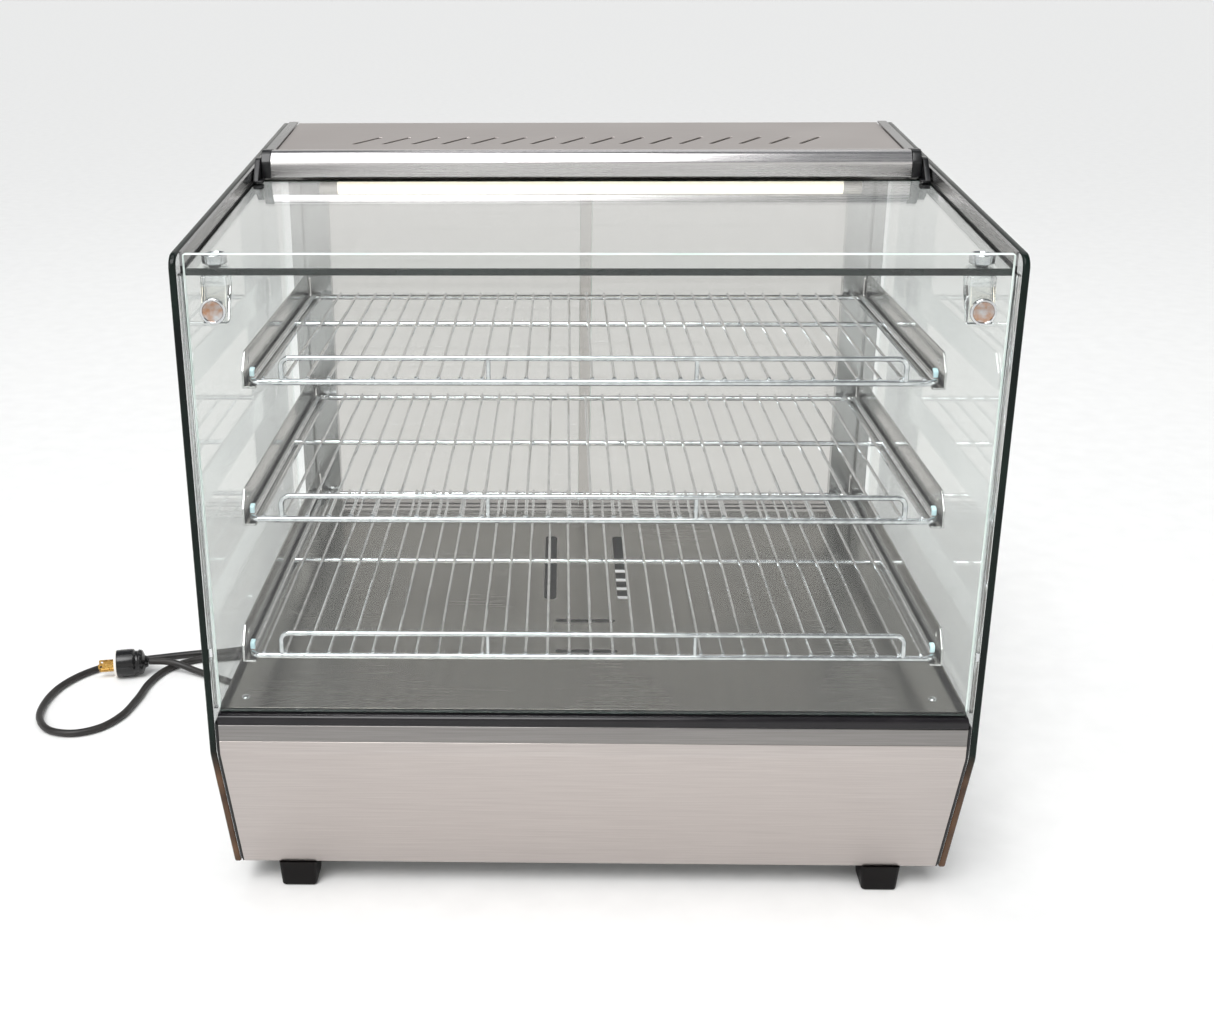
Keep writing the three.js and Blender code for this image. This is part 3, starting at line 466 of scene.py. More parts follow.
def chromed(name, light, rough, waviness):
    """Plated wire: nearly a mirror, with the faint waviness of drawn wire under the plating."""
    made, tree, shader = start_finish(name, Metallic=1.0)
    wave = spots(tree, 6, 2.0)
    tree.links.new(shade(tree, wave, "#c9ccce", light), shader.inputs["Base Color"])
    tree.links.new(between(tree, wave, rough, rough + 0.06), shader.inputs["Roughness"])
    relief(tree, shader, wave, waviness)
    return made


CHROME = chromed("chrome_plated_wire", "#e8eaec", 0.06, 0.02)
MIRROR = chromed("polished_chrome_cap", "#dfe0e1", 0.03, 0.002)
BRONZE = chromed("bronze_tinted_cap_mirror", "#b58a6c", 0.05, 0.002)
BRASS, tree, shader = start_finish("bare_brass_blades", Metallic=1.0)
tarnish = spots(tree, 3)
tree.links.new(shade(tree, tarnish, "#a87a35", "#d9b269"), shader.inputs["Base Color"])
tree.links.new(between(tree, tarnish, 0.18, 0.35), shader.inputs["Roughness"])

ZINC, tree, shader = start_finish("hot_dip_galvanised_sheet", Metallic=1.0)
place = add(tree, "TexCoord").outputs["Object"]
spangle = add(tree, "TexVoronoi", {"Vector": place, "Scale": 1 / (12 * MM)}).outputs["Color"]
grey = add(tree, "RGBToBW", {"Color": spangle}).outputs["Val"]
tree.links.new(shade(tree, grey, "#8c9092", "#aeb2b3", 0.1, 0.9), shader.inputs["Base Color"])
tree.links.new(between(tree, grey, 0.3, 0.5, 0.1, 0.9), shader.inputs["Roughness"])

HEATED_STEEL, tree, shader = start_finish("heat_tinted_element_sheath", Metallic=1.0)
burnt = spots(tree, 25)
tree.links.new(shade(tree, burnt, "#5a4038", "#7c6a58"), shader.inputs["Base Color"])
tree.links.new(between(tree, burnt, 0.35, 0.6), shader.inputs["Roughness"])
print("metals:", [m.name for m in (BRUSHED_STEEL, DECK_STEEL_PAINTED_REFLECTION, ARM_STEEL, CHROME, BRASS, ZINC)])

# %% [markdown]
# ## Glass and clear plastic
# Float glass is clear across its thickness and bottle green along it, because light that enters
# an edge travels far through the iron in the glass. So each pane has two finishes: clear faces
# that bend and mirror light, and ground edges that look dark green. The front glass and the doors
# have edges painted pale instead, a painted highlight for the light their polished edges catch.
# Panes cast no shadow here, as thin clear glass hardly does.

# %% Clear finishes
def clear(name, tint, ior, rough):
    """A clear solid: all its light goes through or is mirrored, with faint wiping marks."""
    made, tree, shader = start_finish(
        name, Base_Color=colour(tint), Transmission_Weight=1.0, IOR=ior)
    wiped = spots(tree, 60, 3.0, (1, 1, 3))
    tree.links.new(between(tree, wiped, 0.0, rough, 0.45, 0.75), shader.inputs["Roughness"])
    return made


PANE_GLASS = clear("float_glass", "#f6f8f7", 1.5, 0.015)
DOOR_ACRYLIC = clear("extruded_clear_acrylic_door", "#d8d5d2", 1.49, 0.05)
CLEAR_PLASTIC = clear("moulded_clear_acrylic", "#f3f6f6", 1.49, 0.05)


def ground(name, dark, light, low_dark, low_light, turn, rough, gloss):
    """A polished glass edge: glossy, with the soft streaks of the grinding wheel along it. Its colour
    goes from the low pair to the upper pair between the two heights in turn."""
    made, tree, shader = start_finish(name, IOR=1.5, Specular_IOR_Level=gloss)
    streak = spots(tree, 9, 2.0, (6, 6, 6))
    height = add(tree, "SeparateXYZ", {"Vector": add(tree, "TexCoord").outputs["Object"]}).outputs["Z"]
    upper = between(tree, height, 0.0, 1.0, turn[0] * MM, turn[1] * MM)
    below = shade(tree, streak, low_dark, low_light)
    above = shade(tree, streak, dark, light)
    mixed = add(tree, "Mix", {0: upper, 6: below, 7: above}, data_type="RGBA").outputs[2]
    tree.links.new(mixed, shader.inputs["Base Color"])
    tree.links.new(between(tree, streak, rough, rough + 0.12), shader.inputs["Roughness"])
    return made


DARK_EDGE = ground("ground_green_glass_edge", "#040b09", "#0f1d18", "#3a281b", "#6b4c33",
                   (150, 185), 0.16, 0.2)
# Painted highlight: these edges are painted pale for the light they catch; below 222 to 226 mm they keep
# the dark green of the glass.
PAINTED_HIGHLIGHT_EDGE = ground("glass_edge_painted_highlight", "#cfe0d9", "#eef6f3", "#0c1512", "#1d2b26",
                   (222, 226), 0.1, 0.5)

# %% [markdown]
# ## Plastics, rubber and the rest
# Moulded black plastic is never one black: the skin is finely grained from the mould, so its gloss
# varies by a few hundredths. Rubber is duller and a shade warmer. The lamp's cover is milky and
# glows a little.

# %% Moulded finishes
def moulded(name, dark, light, rough, grain_mm, depth, **sockets):
    """Plastic or rubber with the fine grain of its mould."""
    made, tree, shader = start_finish(name, IOR=1.5, **sockets)
    grain = spots(tree, grain_mm, 3.0)
    worn = spots(tree, 30, 3.0)
    tree.links.new(shade(tree, worn, dark, light), shader.inputs["Base Color"])
    tree.links.new(between(tree, worn, rough, rough + 0.12), shader.inputs["Roughness"])
    relief(tree, shader, grain, depth)
    return made


BLACK_PLASTIC = moulded("injection_moulded_black_abs", "#0b0b0d", "#17171a", 0.28, 0.8, 0.01)
LEDGE_BLACK = moulded("gloss_black_extruded_ledge", "#121013", "#1b181b", 0.14, 1.2, 0.002,
                      Specular_IOR_Level=0.4)
SWITCH_BLACK = moulded("gloss_black_nylon_rocker", "#0c0c0e", "#161618", 0.2, 0.8, 0.006)
RUBBER = moulded("extruded_epdm_rubber", "#0d0d0d", "#181716", 0.55, 1.0, 0.02)
FOOT_RUBBER = moulded("moulded_black_foot_rubber", "#040202", "#0a0606", 0.42, 1.5, 0.03,
                      Specular_IOR_Level=0.2)
CORD_RUBBER = moulded("black_rubber_flex_jacket", "#1b1918", "#2c2927", 0.42, 1.5, 0.03)
PLUG_BLACK = moulded("gloss_black_plug_nylon", "#0d0d0e", "#1a1a1b", 0.2, 1.0, 0.008)
PLUG_FACE = moulded("cream_plug_face_nylon", "#e9e4dc", "#f4f1ea", 0.4, 1.0, 0.01)
CLIP_PLASTIC = moulded("pale_blue_clip_plastic", "#a9cdd2", "#cfe6ea", 0.25, 1.0, 0.01)
CERAMIC = moulded("glazed_steatite", "#dcd6c8", "#ece7db", 0.3, 1.0, 0.01)
WHITE_MARK = moulded("screen_printed_white_ink", "#e4e4e2", "#f2f2f0", 0.5, 0.6, 0.005)
LAMP_GLOW = moulded("opal_polycarbonate_lamp", "#fff4e2", "#fffaf0", 0.4, 2.0, 0.005,
                    Emission_Color=colour("#fff3dc"), Emission_Strength=1.6)
print("plastics:", [m.name for m in (BLACK_PLASTIC, LEDGE_BLACK, RUBBER, CORD_RUBBER)])

# %% [markdown]
# ## The mains lead
# The lead comes before everything else, because its length and its room on the table are fixed.
# It is about 1.8 m of 8.5 mm rubber flex. It leaves the rear panel through a tapered strain relief,
# falls to the table, runs along the back, makes one loose loop beside the case and comes round
# to its plug. A centripetal Catmull-Rom curve goes through every chosen point with no overshoot.

# %% Lead route
CORD = 8.5
LEAD_POINTS = np.array([
    [235, 299.3, 55], [235, 315, 54.5], [233.5, 332, 51.5], [227, 350, 45], [213, 364, 36],
    [191, 372, 24], [162, 374, 12], [128, 372, 6], [94, 371, 4.8], [-140, 362, 4.8],
    [-330, 350, 4.8], [-400, 332, 4.8], [-462, 305, 4.8],
    [-532, 286, 4.8], [-592, 266, 4.8], [-630, 239, 4.8], [-654, 199, 4.8],
    [-661, 152, 4.8], [-654, 110, 4.8], [-633, 82, 4.8], [-603, 75, 4.8], [-576, 88, 4.8],
    [-558, 118, 4.8], [-550, 162, 4.8], [-546, 208, 4.8], [-533, 246, 4.8], [-504, 273, 4.8],
    [-462, 285, 4.8], [-428, 289.5, 4.8], [-403, 289, 4.8], [-381, 282, 4.8],
    [-364.8, 266.8, 4.8], [-359, 245, 4.8], [-364.8, 223.3, 4.8], [-381, 207.5, 4.8], [-404, 202, 4.8],
    [-436, 207.5, 4.8], [-488, 234, 6.8], [-526, 246, 14.5], [-554.5, 242.2, 18],
], float)
LEAD_STEPS = 14


def through(points, steps):
    """A centripetal Catmull-Rom curve: knots are spaced by the square root of the distance, and
    each stretch is the cubic Hermite curve whose end slopes come from its four nearest points."""
    first, last = 2 * points[0] - points[1], 2 * points[-1] - points[-2]
    p = np.vstack([first, points, last])
    gap = np.sqrt(np.linalg.norm(np.diff(p, axis=0), axis=1, keepdims=True))
    a, b, c = gap[:-2], gap[1:-1], gap[2:]
    p0, p1, p2, p3 = p[:-3], p[1:-2], p[2:-1], p[3:]
    slope1 = ((p1 - p0) / a - (p2 - p0) / (a + b) + (p2 - p1) / b) * b
    slope2 = ((p2 - p1) / b - (p3 - p1) / (b + c) + (p3 - p2) / c) * b
    t = np.linspace(0, 1, steps, endpoint=False)[None, :, None]
    curve = ((2 * t**3 - 3 * t**2 + 1) * p1[:, None] + (t**3 - 2 * t**2 + t) * slope1[:, None]
             + (3 * t**2 - 2 * t**3) * p2[:, None] + (t**3 - t**2) * slope2[:, None])
    return np.vstack([curve.reshape(-1, 3), points[-1:]])


route = through(LEAD_POINTS, LEAD_STEPS)
lead = make("mains_lead", tube(route, CORD / 2, sides=16), CORD_RUBBER, "case",
            ["power_cord"])

# %% [markdown]
# ## Plug and strain relief
# The plug is a round black body with a pale face and three brass pins. It is drawn standing along
# an axis and then laid on the lead's last point. The strain relief is a tapered tail with grooves,
# so that it bends evenly.

# %% Plug
PLUG_TIP, PLUG_TAIL, PLUG_Z = np.array([-624, 229.0]), np.array([-555, 242.0]), 18
PLUG_PINS = 28
BLADE_HALF, BLADE_LENGTH, BLADE_APART, BLADE_THICK = 3.2, 22, 12.6, 1.5
RIBS = 12
way = PLUG_TAIL - PLUG_TIP
plug_length = np.linalg.norm(way)
heading = np.degrees(np.arctan2(way[1], way[0]))

collar = plug_length - 9
body_profile = rounded([
    (0, PLUG_PINS + 3, 0), (16.6, PLUG_PINS + 3, 1), (17.2, PLUG_PINS + 4, 0.6), (17.2, collar - 9, 1.5),
    (14.6, collar - 7, 1.2), (14.6, collar - 4, 1.2), (16, collar - 2, 1), (15, collar + 2, 3),
    (8, collar + 5, 2), (6.5, plug_length - 0.4, 0.8), (0, plug_length - 0.4, 0),
], closed=False, steps=4)
face_profile = rounded([(0, PLUG_PINS, 0), (16.4, PLUG_PINS, 1.5), (17, PLUG_PINS + 3.1, 0.3),
                        (0, PLUG_PINS + 3.1, 0)], closed=False, steps=4)
blade = oblong((-BLADE_HALF, BLADE_HALF), (0, BLADE_LENGTH), (1.2, 1.2, 0.2, 0.2), steps=3)
plug_parts = turned(body_profile, (0, 0, 0), "x", 40) + turned(face_profile, (0, 0, 0), "x", 40, 1)
for offset in (-BLADE_APART / 2, BLADE_APART / 2):
    flat = plate(blade[:, ::-1] + [8, 0], -BLADE_THICK / 2, BLADE_THICK / 2, "z",
                 holes=[circle(11.5, 0, 1.5, 12)], edge=0.25, finish=2)
    plug_parts += placed(flat, spin("X", 90), (0, offset, 0))
earth = rounded([(0, 8, 0), (1.2, 8, 0.8), (2.4, 10.5, 1), (2.4, 30, 0), (0, 30, 0)], closed=False)
plug_parts += placed(turned(earth, (0, 0, 0), "x", 20, 2), shift=(0, 0, -8))
rib = plate(oblong((0, 14), (-0.9, 0.9), 0.4, steps=2), 0, 1.0, "z", edge=0.35)
raised_rib = placed(rib, shift=(PLUG_PINS + 8, 0, 16.4))
for number in range(RIBS):
    plug_parts += placed(raised_rib, spin("X", number * 360 / RIBS))
plug_parts = placed(plug_parts, spin("Z", heading), (*PLUG_TIP, PLUG_Z))
plug = make("mains_plug_round", plug_parts, [PLUG_BLACK, PLUG_FACE, BRASS], "case",
            ["mains_plug"])

# %% Strain relief
low, high = span("strain_relief")
relief_x, _, relief_z = (low + high) / 2
collar_y = span("rear_panel")[1][1] + 0.3
ribs = np.linspace(collar_y + 8, high[1] - 3, 7)
tail = [(0, collar_y - 5, 0), (7.6, collar_y - 5, 0.5), (7.6, collar_y, 0.1), (12, collar_y, 0.6),
        (12, collar_y + 4, 0.8), (9, collar_y + 5, 0.5)]
for number, place_y in enumerate(ribs):
    outer = 8.6 - 0.42 * number
    tail += [(outer, place_y - 1.3, 0.5), (outer, place_y + 0.6, 0.5), (outer - 1.1, place_y + 1.1, 0.3)]
tail += [(5.4, high[1], 0.3), (0, high[1], 0)]
relief_parts = turned(rounded(tail, closed=False, steps=2), (relief_x, 0, relief_z), "y", 32)
gland = make("strain_relief_tail", relief_parts, RUBBER, "case", ["strain_relief"])

# %% [markdown]
# ## The two side panes
# Each side is one sheet of 6 mm toughened glass that carries everything else. Its outline leans
# back at the base, its corners are ground round, and its edge is pencil polished, which is why the
# case has a dark green line all round. A plate with a large rim radius is just that.

# %% Side panes
FOOT_TOP = 27
KNEE_Z = 180
SETBACK = 59
TOP_RISE = 49
pane_low, pane_high = span("side_glass_right")
FRONT, REAR = pane_low[1], pane_high[1]
HEIGHT = pane_high[2]
PANE_INNER, PANE_OUTER = pane_low[0], pane_high[0]
SLOPE = TOP_RISE / (REAR - FRONT)


def top_edge(y):
    """The height of a pane's top edge, which rises evenly from front to rear."""
    return HEIGHT - TOP_RISE + (y - FRONT) * SLOPE


pane_outline = rounded([
    (FRONT + SETBACK, FOOT_TOP, 6), (FRONT, KNEE_Z, 22), (FRONT, HEIGHT - TOP_RISE, 13),
    (REAR, HEIGHT, 7), (REAR, FOOT_TOP, 5),
], steps=10)
for side in SIDES:
    sheet = plate(pane_outline, *outward(side, PANE_INNER, PANE_OUTER), "x", edge=1.8, steps=4, rim=1)
    pane = make(f"side_pane_{side}", sheet, [PANE_GLASS, DARK_EDGE], "case",
                [f"side_glass_{side}"])
    pane.visible_shadow = False

# %% [markdown]
# ## The lift-up glass
# The front glass stands in front and the top glass butts against its back. The front glass's edges
# are painted pale, a painted highlight for the bright line its polished top edge catches, and the
# top glass shows its dark edge through it. Steel fixings clamp both round clear plastic blocks.

# %% Front and top glass
front_low, front_high = span("front_glass")
disc_low, disc_high = span("glass_connector_right")
DISC_X = (disc_low[0] + disc_high[0]) / 2
FRONT_DISC_Z = front_high[2] - 47
TOP_DISC_Y = front_high[1] + 13
GLASS = front_high[1] - front_low[1]
GLASS_HOLE = 4.3

front_outline = oblong((front_low[2], front_high[2]), (front_low[0], front_high[0]), (1, 2.5, 2.5, 1))
front_holes = [circle(FRONT_DISC_Z, sign * DISC_X, GLASS_HOLE) for sign in SIDES.values()]
upright_front = plate(front_outline, front_low[1], front_high[1], "y", front_holes, edge=1.0, rim=1)
front_glass = make("front_pane", upright_front, [PANE_GLASS, PAINTED_HIGHLIGHT_EDGE], "lift_glass",
                   ["front_glass"])

top_low, top_high = span("top_glass")
top_outline = oblong((top_low[0], top_high[0]), (top_low[1], top_high[1]), (1, 1, 2, 2))
top_holes = [circle(sign * DISC_X, TOP_DISC_Y, GLASS_HOLE) for sign in SIDES.values()]
flat_top = plate(top_outline, 0, GLASS, "z", top_holes, edge=0.9, rim=1)
TILT = np.array([[1, 0, 0], [0, 1, 0], [0, SLOPE, 1]])
top_glass = make("top_pane", placed(flat_top, TILT, (0, 0, top_low[2] - SLOPE * top_low[1])),
                 [PANE_GLASS, DARK_EDGE], "lift_glass", ["top_glass"])
for pane in (front_glass, top_glass):
    pane.visible_shadow = False


def glass_top(y):
    """The height of the top glass's upper face."""
    return top_low[2] + GLASS + (y - top_low[1]) * SLOPE


# %% Glass connectors
GAP = 0.3
FRONT_BUTTON, FRONT_BUTTON_HIGH = 10.9, 3.9
TOP_BUTTON, TOP_BUTTON_HIGH = 10.4, 7.6
BLOCK_HALF, BLOCK_DEEP, BLOCK_THICK = 10.6, 25, 12
BOLT, WASHER, WASHER_THICK = 4.0, 8.6, 1.0


def chrome_button(radius, height, middle):
    """A flat button with a chrome ring, round a sunk disc in the finish numbered middle."""
    ring = rounded([
        (0, height - 1.2, 0), (radius - 2.6, height - 1.2, 0.2), (radius - 1.9, height, 0.4),
        (radius, height, 1.2), (radius, 0, 0.3), (0, 0, 0),
    ], closed=False, steps=4)
    disc = rounded([
        (0, height - 0.5, 0), (radius - 2.5, height - 0.75, 0.3), (radius - 2.5, height - 1.5, 0.1),
        (0, height - 1.5, 0),
    ], closed=False, steps=3)
    return turned(ring, (0, 0, 0), "z", 40, 1) + turned(disc, (0, 0, 0), "z", 40, middle)


inner = front_high[1] + GAP
under = glass_top(inner) - GLASS - GAP
seat = glass_top(TOP_DISC_Y) + WASHER_THICK + 0.4
block = rounded([
    (inner, FRONT_DISC_Z - BLOCK_THICK, 2), (inner + 8, FRONT_DISC_Z - BLOCK_THICK, 3),
    (inner + BLOCK_DEEP, under - BLOCK_THICK, 3), (inner + BLOCK_DEEP, under, 2), (inner, under, 2),
], steps=4)
washer = rounded([(0, -WASHER_THICK, 0), (WASHER, -WASHER_THICK, 0.3), (WASHER, 0.1, 0.3), (0, 0.1, 0)],
                 closed=False, steps=2)
for side, sign in SIDES.items():
    x = sign * DISC_X
    parts = plate(block, x - BLOCK_HALF, x + BLOCK_HALF, "x", edge=1.4, steps=4)
    parts += placed(chrome_button(FRONT_BUTTON, FRONT_BUTTON_HIGH, 2), spin("X", 90),
                    (x, front_low[1] - GAP, FRONT_DISC_Z))
    parts += placed(chrome_button(TOP_BUTTON, TOP_BUTTON_HIGH, 1), shift=(x, TOP_DISC_Y, seat))
    parts += turned(washer, (x, TOP_DISC_Y, seat), "z", 32)
    bolt = [(x, front_low[1] - 1, FRONT_DISC_Z), (x, front_high[1] + 5, FRONT_DISC_Z)]
    parts += tube(bolt, BOLT, 16, finish=1)
    stud = [(x, TOP_DISC_Y, seat + 1), (x, TOP_DISC_Y, seat - 12)]
    parts += tube(stud, BOLT, 16, beside=(0, 1, 0), finish=1)
    make(f"glass_fixing_{side}", parts, [CLEAR_PLASTIC, MIRROR, BRONZE], "lift_glass",
         [f"glass_connector_{side}"])

# %% [markdown]
# ## Seals beside the front glass
# A clear extruded strip fills the joint between each side pane and the front glass, so the glass
# never knocks on the pane. A small bright stop stands on the front of each strip.

# %% Clear seals and their stops
STOP_Z, STOP_HALF = 282, 4
for side in SIDES:
    low, high = span(f"front_seal_{side}")
    section = oblong((low[0], high[0]), (low[1], high[1]), (1, 0.6, 0.6, 1))
    seal = make(f"glass_seal_{side}", plate(section, low[2], high[2], "z", edge=0.5), CLEAR_PLASTIC,
                "case", [f"front_seal_{side}"])
    seal.visible_shadow = False
    stop = oblong((low[0] + 0.4, high[0] - 0.2), (low[1] - 1.6, low[1] - 0.1), (0.8, 0.8, 0.3, 0.3))
    make(f"glass_stop_{side}", plate(stop, STOP_Z - STOP_HALF, STOP_Z + STOP_HALF, "z", edge=0.6),
         MIRROR, "case")

# %% [markdown]
# ## The top housing
# The nose of the housing is an extruded aluminium rail with a rounded front, closed by black
# moulded caps. The hinge clamps grip the top glass beside it and turn on pins in those caps.
# Behind the rail a steel cover, slotted to let warm air out, rises to the rear edge.

# %% Rail and end caps
rail_low, rail_high = span("top_rail")
cap_low, cap_high = span("rail_end_cap_right")
RAIL_HALF = rail_high[0]


def rail_outline(grow):
    """The rail's section: flat back and underside, a large curve over the nose."""
    y0, y1 = rail_low[1] - grow, rail_high[1] + grow
    z0, z1 = rail_low[2] - grow, rail_high[2] + grow
    return rounded([(y0, z0, 1.5), (y1, z0, 0.5), (y1, z1 - 1.5, 1.5), (y0 + 7, z1, 10), (y0, z1 - 12, 7)],
                   steps=8)


rail_shell = plate(rail_outline(0), -RAIL_HALF, RAIL_HALF, "x", [rail_outline(-2)], edge=0.3)
make("nose_rail", rail_shell, RAIL_ALUMINIUM, "case", ["top_rail"])
for side in SIDES:
    cap = plate(rail_outline(0.6), *outward(side, cap_low[0], cap_high[0]), "x", edge=1.6, steps=5)
    make(f"rail_cap_{side}", cap, BLACK_PLASTIC, "case", [f"rail_end_cap_{side}"])

# %% Hinge clamps
hinge_high = span("glass_hinge_right")[1]
PIVOT_Y = rail_low[1] + 12
PIVOT_Z = top_edge(PIVOT_Y) - 5
GLASS_END = top_high[1]
GRIP_FRONT, GRIP_BACK = rail_low[1] - 20, rail_low[1] - 10
PAD_INNER, PAD_OUTER, PAD_HIGH = top_high[0] - 10, top_high[0] - 1, 3.2
JAW = 4
HINGE_PIN = 2.9


def screw_head(radius=4.2):
    """A pan head with a cross recess, standing on z = 0."""
    dome = rounded([(0, 2.2, 0), (radius - 1, 2.1, 1.2), (radius, 0.9, 0.6), (radius, 0, 0.1), (0, 0, 0)],
                   closed=False, steps=4)
    cross = plate(oblong((-2.1, 2.1), (-0.45, 0.45), 0.1), 2.0, 2.35, "z", edge=0.08, steps=1, finish=1)
    return turned(dome, (0, 0, 0), "z", 24) + cross + placed(cross, spin("Z", 90))


behind, grip_z, end_z = rail_low[1] + 6, glass_top(GRIP_FRONT), glass_top(GLASS_END)
arm = rounded([
    (PIVOT_Y - 13, PIVOT_Z + 12, 7), (PIVOT_Y + 9, PIVOT_Z + 12, 7), (PIVOT_Y + 7, PIVOT_Z - 9, 4),
    (behind, glass_top(behind) - GLASS - JAW, 2), (GRIP_FRONT, grip_z - GLASS - JAW, 1.2),
    (GRIP_FRONT, grip_z - GLASS - GAP, 0.8), (GLASS_END + GAP, end_z - GLASS - GAP, 0.8),
    (GLASS_END + GAP, end_z + GAP, 0.8), (GRIP_FRONT, grip_z + GAP, 0.8),
    (GRIP_FRONT, grip_z + PAD_HIGH, 1.2),
])
for side, sign in SIDES.items():
    parts = plate(arm, *outward(side, cap_high[0] + GAP, hinge_high[0]), "x", edge=0.7)
    pad = oblong(outward(side, PAD_INNER, PAD_OUTER), (GRIP_FRONT, GRIP_BACK), 2)
    for base, height in ((0.35, 2.8), (-GLASS - JAW, 3.6)):
        lying = plate(pad, 0, height, "z", edge=0.9, steps=4)
        parts += placed(lying, TILT, (0, 0, glass_top(0) + base))
    pin = [(sign * (cap_low[0] + 1), PIVOT_Y, PIVOT_Z), (sign * (cap_high[0] + 4), PIVOT_Y, PIVOT_Z)]
    parts += tube(pin, HINGE_PIN, 16)
    head = [(p, f, s, m + 1) for p, f, s, m in placed(screw_head(2.5), spin("X", 90))]
    parts += placed(head, None, (sign * (hinge_high[0] - 2.7), PIVOT_Y - 13.5, PIVOT_Z + 1))
    make(f"hinge_clamp_{side}", parts, [BLACK_PLASTIC, MIRROR, BLACK_PLASTIC], "lift_glass",
         [f"glass_hinge_{side}"])

# %% Slotted top cover
cover_low, cover_high = span("top_panel")
SHEET = 1.5
SLOT_PITCH, SLOT_LEAN, SLOT_REACH, SLOT_WIDTH = 32, 16, 18, 5.5
SLOT_Y = REAR - 101
COVER_SCREWS = [(-281, 274), (281, 274), (-300, 120), (300, 120)]
slot_count = int((2 * top_high[0] - 150) // SLOT_PITCH)
slots = []
for number in range(slot_count):
    x = (number - (slot_count - 1) / 2) * SLOT_PITCH
    slots.append(rounded([
        (x - SLOT_LEAN, SLOT_Y - SLOT_REACH, 1.2), (x + SLOT_WIDTH - SLOT_LEAN, SLOT_Y - SLOT_REACH, 1.8),
        (x + SLOT_LEAN, SLOT_Y + SLOT_REACH, 1.2), (x + SLOT_LEAN - SLOT_WIDTH, SLOT_Y + SLOT_REACH, 1.8),
    ], steps=4))
cover_outline = oblong((cover_low[0], cover_high[0]), (cover_low[1], cover_high[1] - 0.4), 0.5)
cover = plate(cover_outline, 0, SHEET, "z", slots, edge=0.3)
cover = placed(cover, TILT, (0, 0, cover_high[2] - SHEET - SLOPE * cover_high[1]))
lip = folded([(cover_high[1] - 3, cover_high[2] - 0.2, 0), (cover_high[1], cover_high[2], 1.5),
              (cover_high[1], cover_low[2], 0)], -SHEET)
cover += plate(lip, cover_low[0], cover_high[0], "x", edge=0.3)
make("slotted_cover", cover, BRUSHED_STEEL, "case", ["top_panel"])
heads = []
for x, y in COVER_SCREWS:
    heads += placed(screw_head(3.8), TILT, (x, y, top_edge(0) - 1.6))
make("cover_screws", heads, [MIRROR, BLACK_PLASTIC], "case")

# %% Lamp under the housing
lamp_low, lamp_high = span("lamp_tube")
_, lamp_y, lamp_z = (lamp_low + lamp_high) / 2
half = lamp_high[0]
LIT_HALF, LAMP_RADIUS = half - 18, 7.6
SOCKET_RADIUS, SOCKET_LENGTH = 7.9, 19
tube_profile = rounded([(0, -LIT_HALF, 0), (LAMP_RADIUS, -LIT_HALF, 0.2), (LAMP_RADIUS, LIT_HALF, 0.2),
                        (0, LIT_HALF, 0)], closed=False)
parts = turned(tube_profile, (0, lamp_y, lamp_z), "x", 28)
socket_profile = rounded([(0, 0, 0), (SOCKET_RADIUS, 0, 1.2), (SOCKET_RADIUS, SOCKET_LENGTH, 0.6),
                          (0, SOCKET_LENGTH, 0)], closed=False, steps=3)
socket = turned(socket_profile, (0, 0, 0), "x", 28, 1)
for sign in SIDES.values():
    parts += placed(socket, np.diag([-sign, 1, 1]), (sign * half, lamp_y, lamp_z))
make("lamp_with_sockets", parts, [LAMP_GLOW, PLUG_FACE], "case", ["lamp_tube"])

# %% [markdown]
# ## The base
# The heated base is a box of folded stainless sheet. Its front leans back below the knee, with a
# narrow strip above it and the black ledge that the front glass rests on. Bend radii of one or two
# millimetres are small, but they draw the bright lines along each fold.

# %% Front panel, strip and ledge
panel_low, panel_high = span("front_lower_panel")
LIP = 14
panel_line = [
    (panel_low[1] + LIP, panel_high[2], 0), (panel_low[1], panel_high[2], 0.7),
    (panel_low[1], KNEE_Z, 14), (panel_high[1] - LIP, panel_low[2], 2), (panel_high[1], panel_low[2], 0),
]
panel = plate(folded(panel_line, SHEET), panel_low[0], panel_high[0], "x", edge=0.3)
make("base_front_sheet", panel, BRUSHED_STEEL, "case", ["front_lower_panel"])

strip_low, strip_high = span("front_strip")
strip_line = [(strip_high[1], strip_high[2], 0), (strip_low[1], strip_high[2], 1.6),
              (strip_low[1], strip_low[2], 0)]
strip = plate(folded(strip_line, SHEET), strip_low[0], strip_high[0], "x", edge=0.3)
make("base_front_strip", strip, STRIP_STEEL, "case", ["front_strip"])

ledge_low, ledge_high = span("front_glass_ledge")
ledge_outline = rounded([
    (ledge_low[1], ledge_low[2], 0.8), (ledge_high[1], ledge_low[2], 0.5),
    (ledge_high[1], ledge_high[2], 0.8), (ledge_low[1], ledge_high[2], 4.5),
], steps=8)
ledge = plate(ledge_outline, ledge_low[0], ledge_high[0], "x", edge=0.5)
make("glass_ledge", ledge, LEDGE_BLACK, "case", ["front_glass_ledge"])

# %% Bead between the base front and the panes
BEAD = 6
bead_line = rounded([(FRONT + SETBACK + 1.2, FOOT_TOP + 1.5, 0), (FRONT + 1.2, KNEE_Z, 20),
                     (FRONT + 1.2, ledge_low[2] - 0.2, 0)], closed=False, steps=8)
bead_outline = np.vstack([bead_line, (bead_line + [BEAD, 0])[::-1]])
for side in SIDES:
    limits = outward(side, panel_high[0] + 0.15, span("base_side_right")[0][0] - 0.1)
    make(f"base_bead_{side}", plate(bead_outline, *limits, "x", edge=0.35), RUBBER, "case")

# %% [markdown]
# ## The deck
# The deck is bright stainless sheet with round-ended slots for the hot air. A shallow channel runs
# down each side, and domed screws hold the sheet. A plate can carry the slots as holes.

# %% Deck sheet and screws
deck_low, deck_high = span("deck_plate")
DECK_Z = 222
DECK_HALF = panel_high[0] - 9.3
DECK_DROP = 9
DECK_SCREWS = [(-318, -249), (313, -245), (323, -14), (-323, -14)]
DRAIN_HOLE = (300, -18, 2.2)


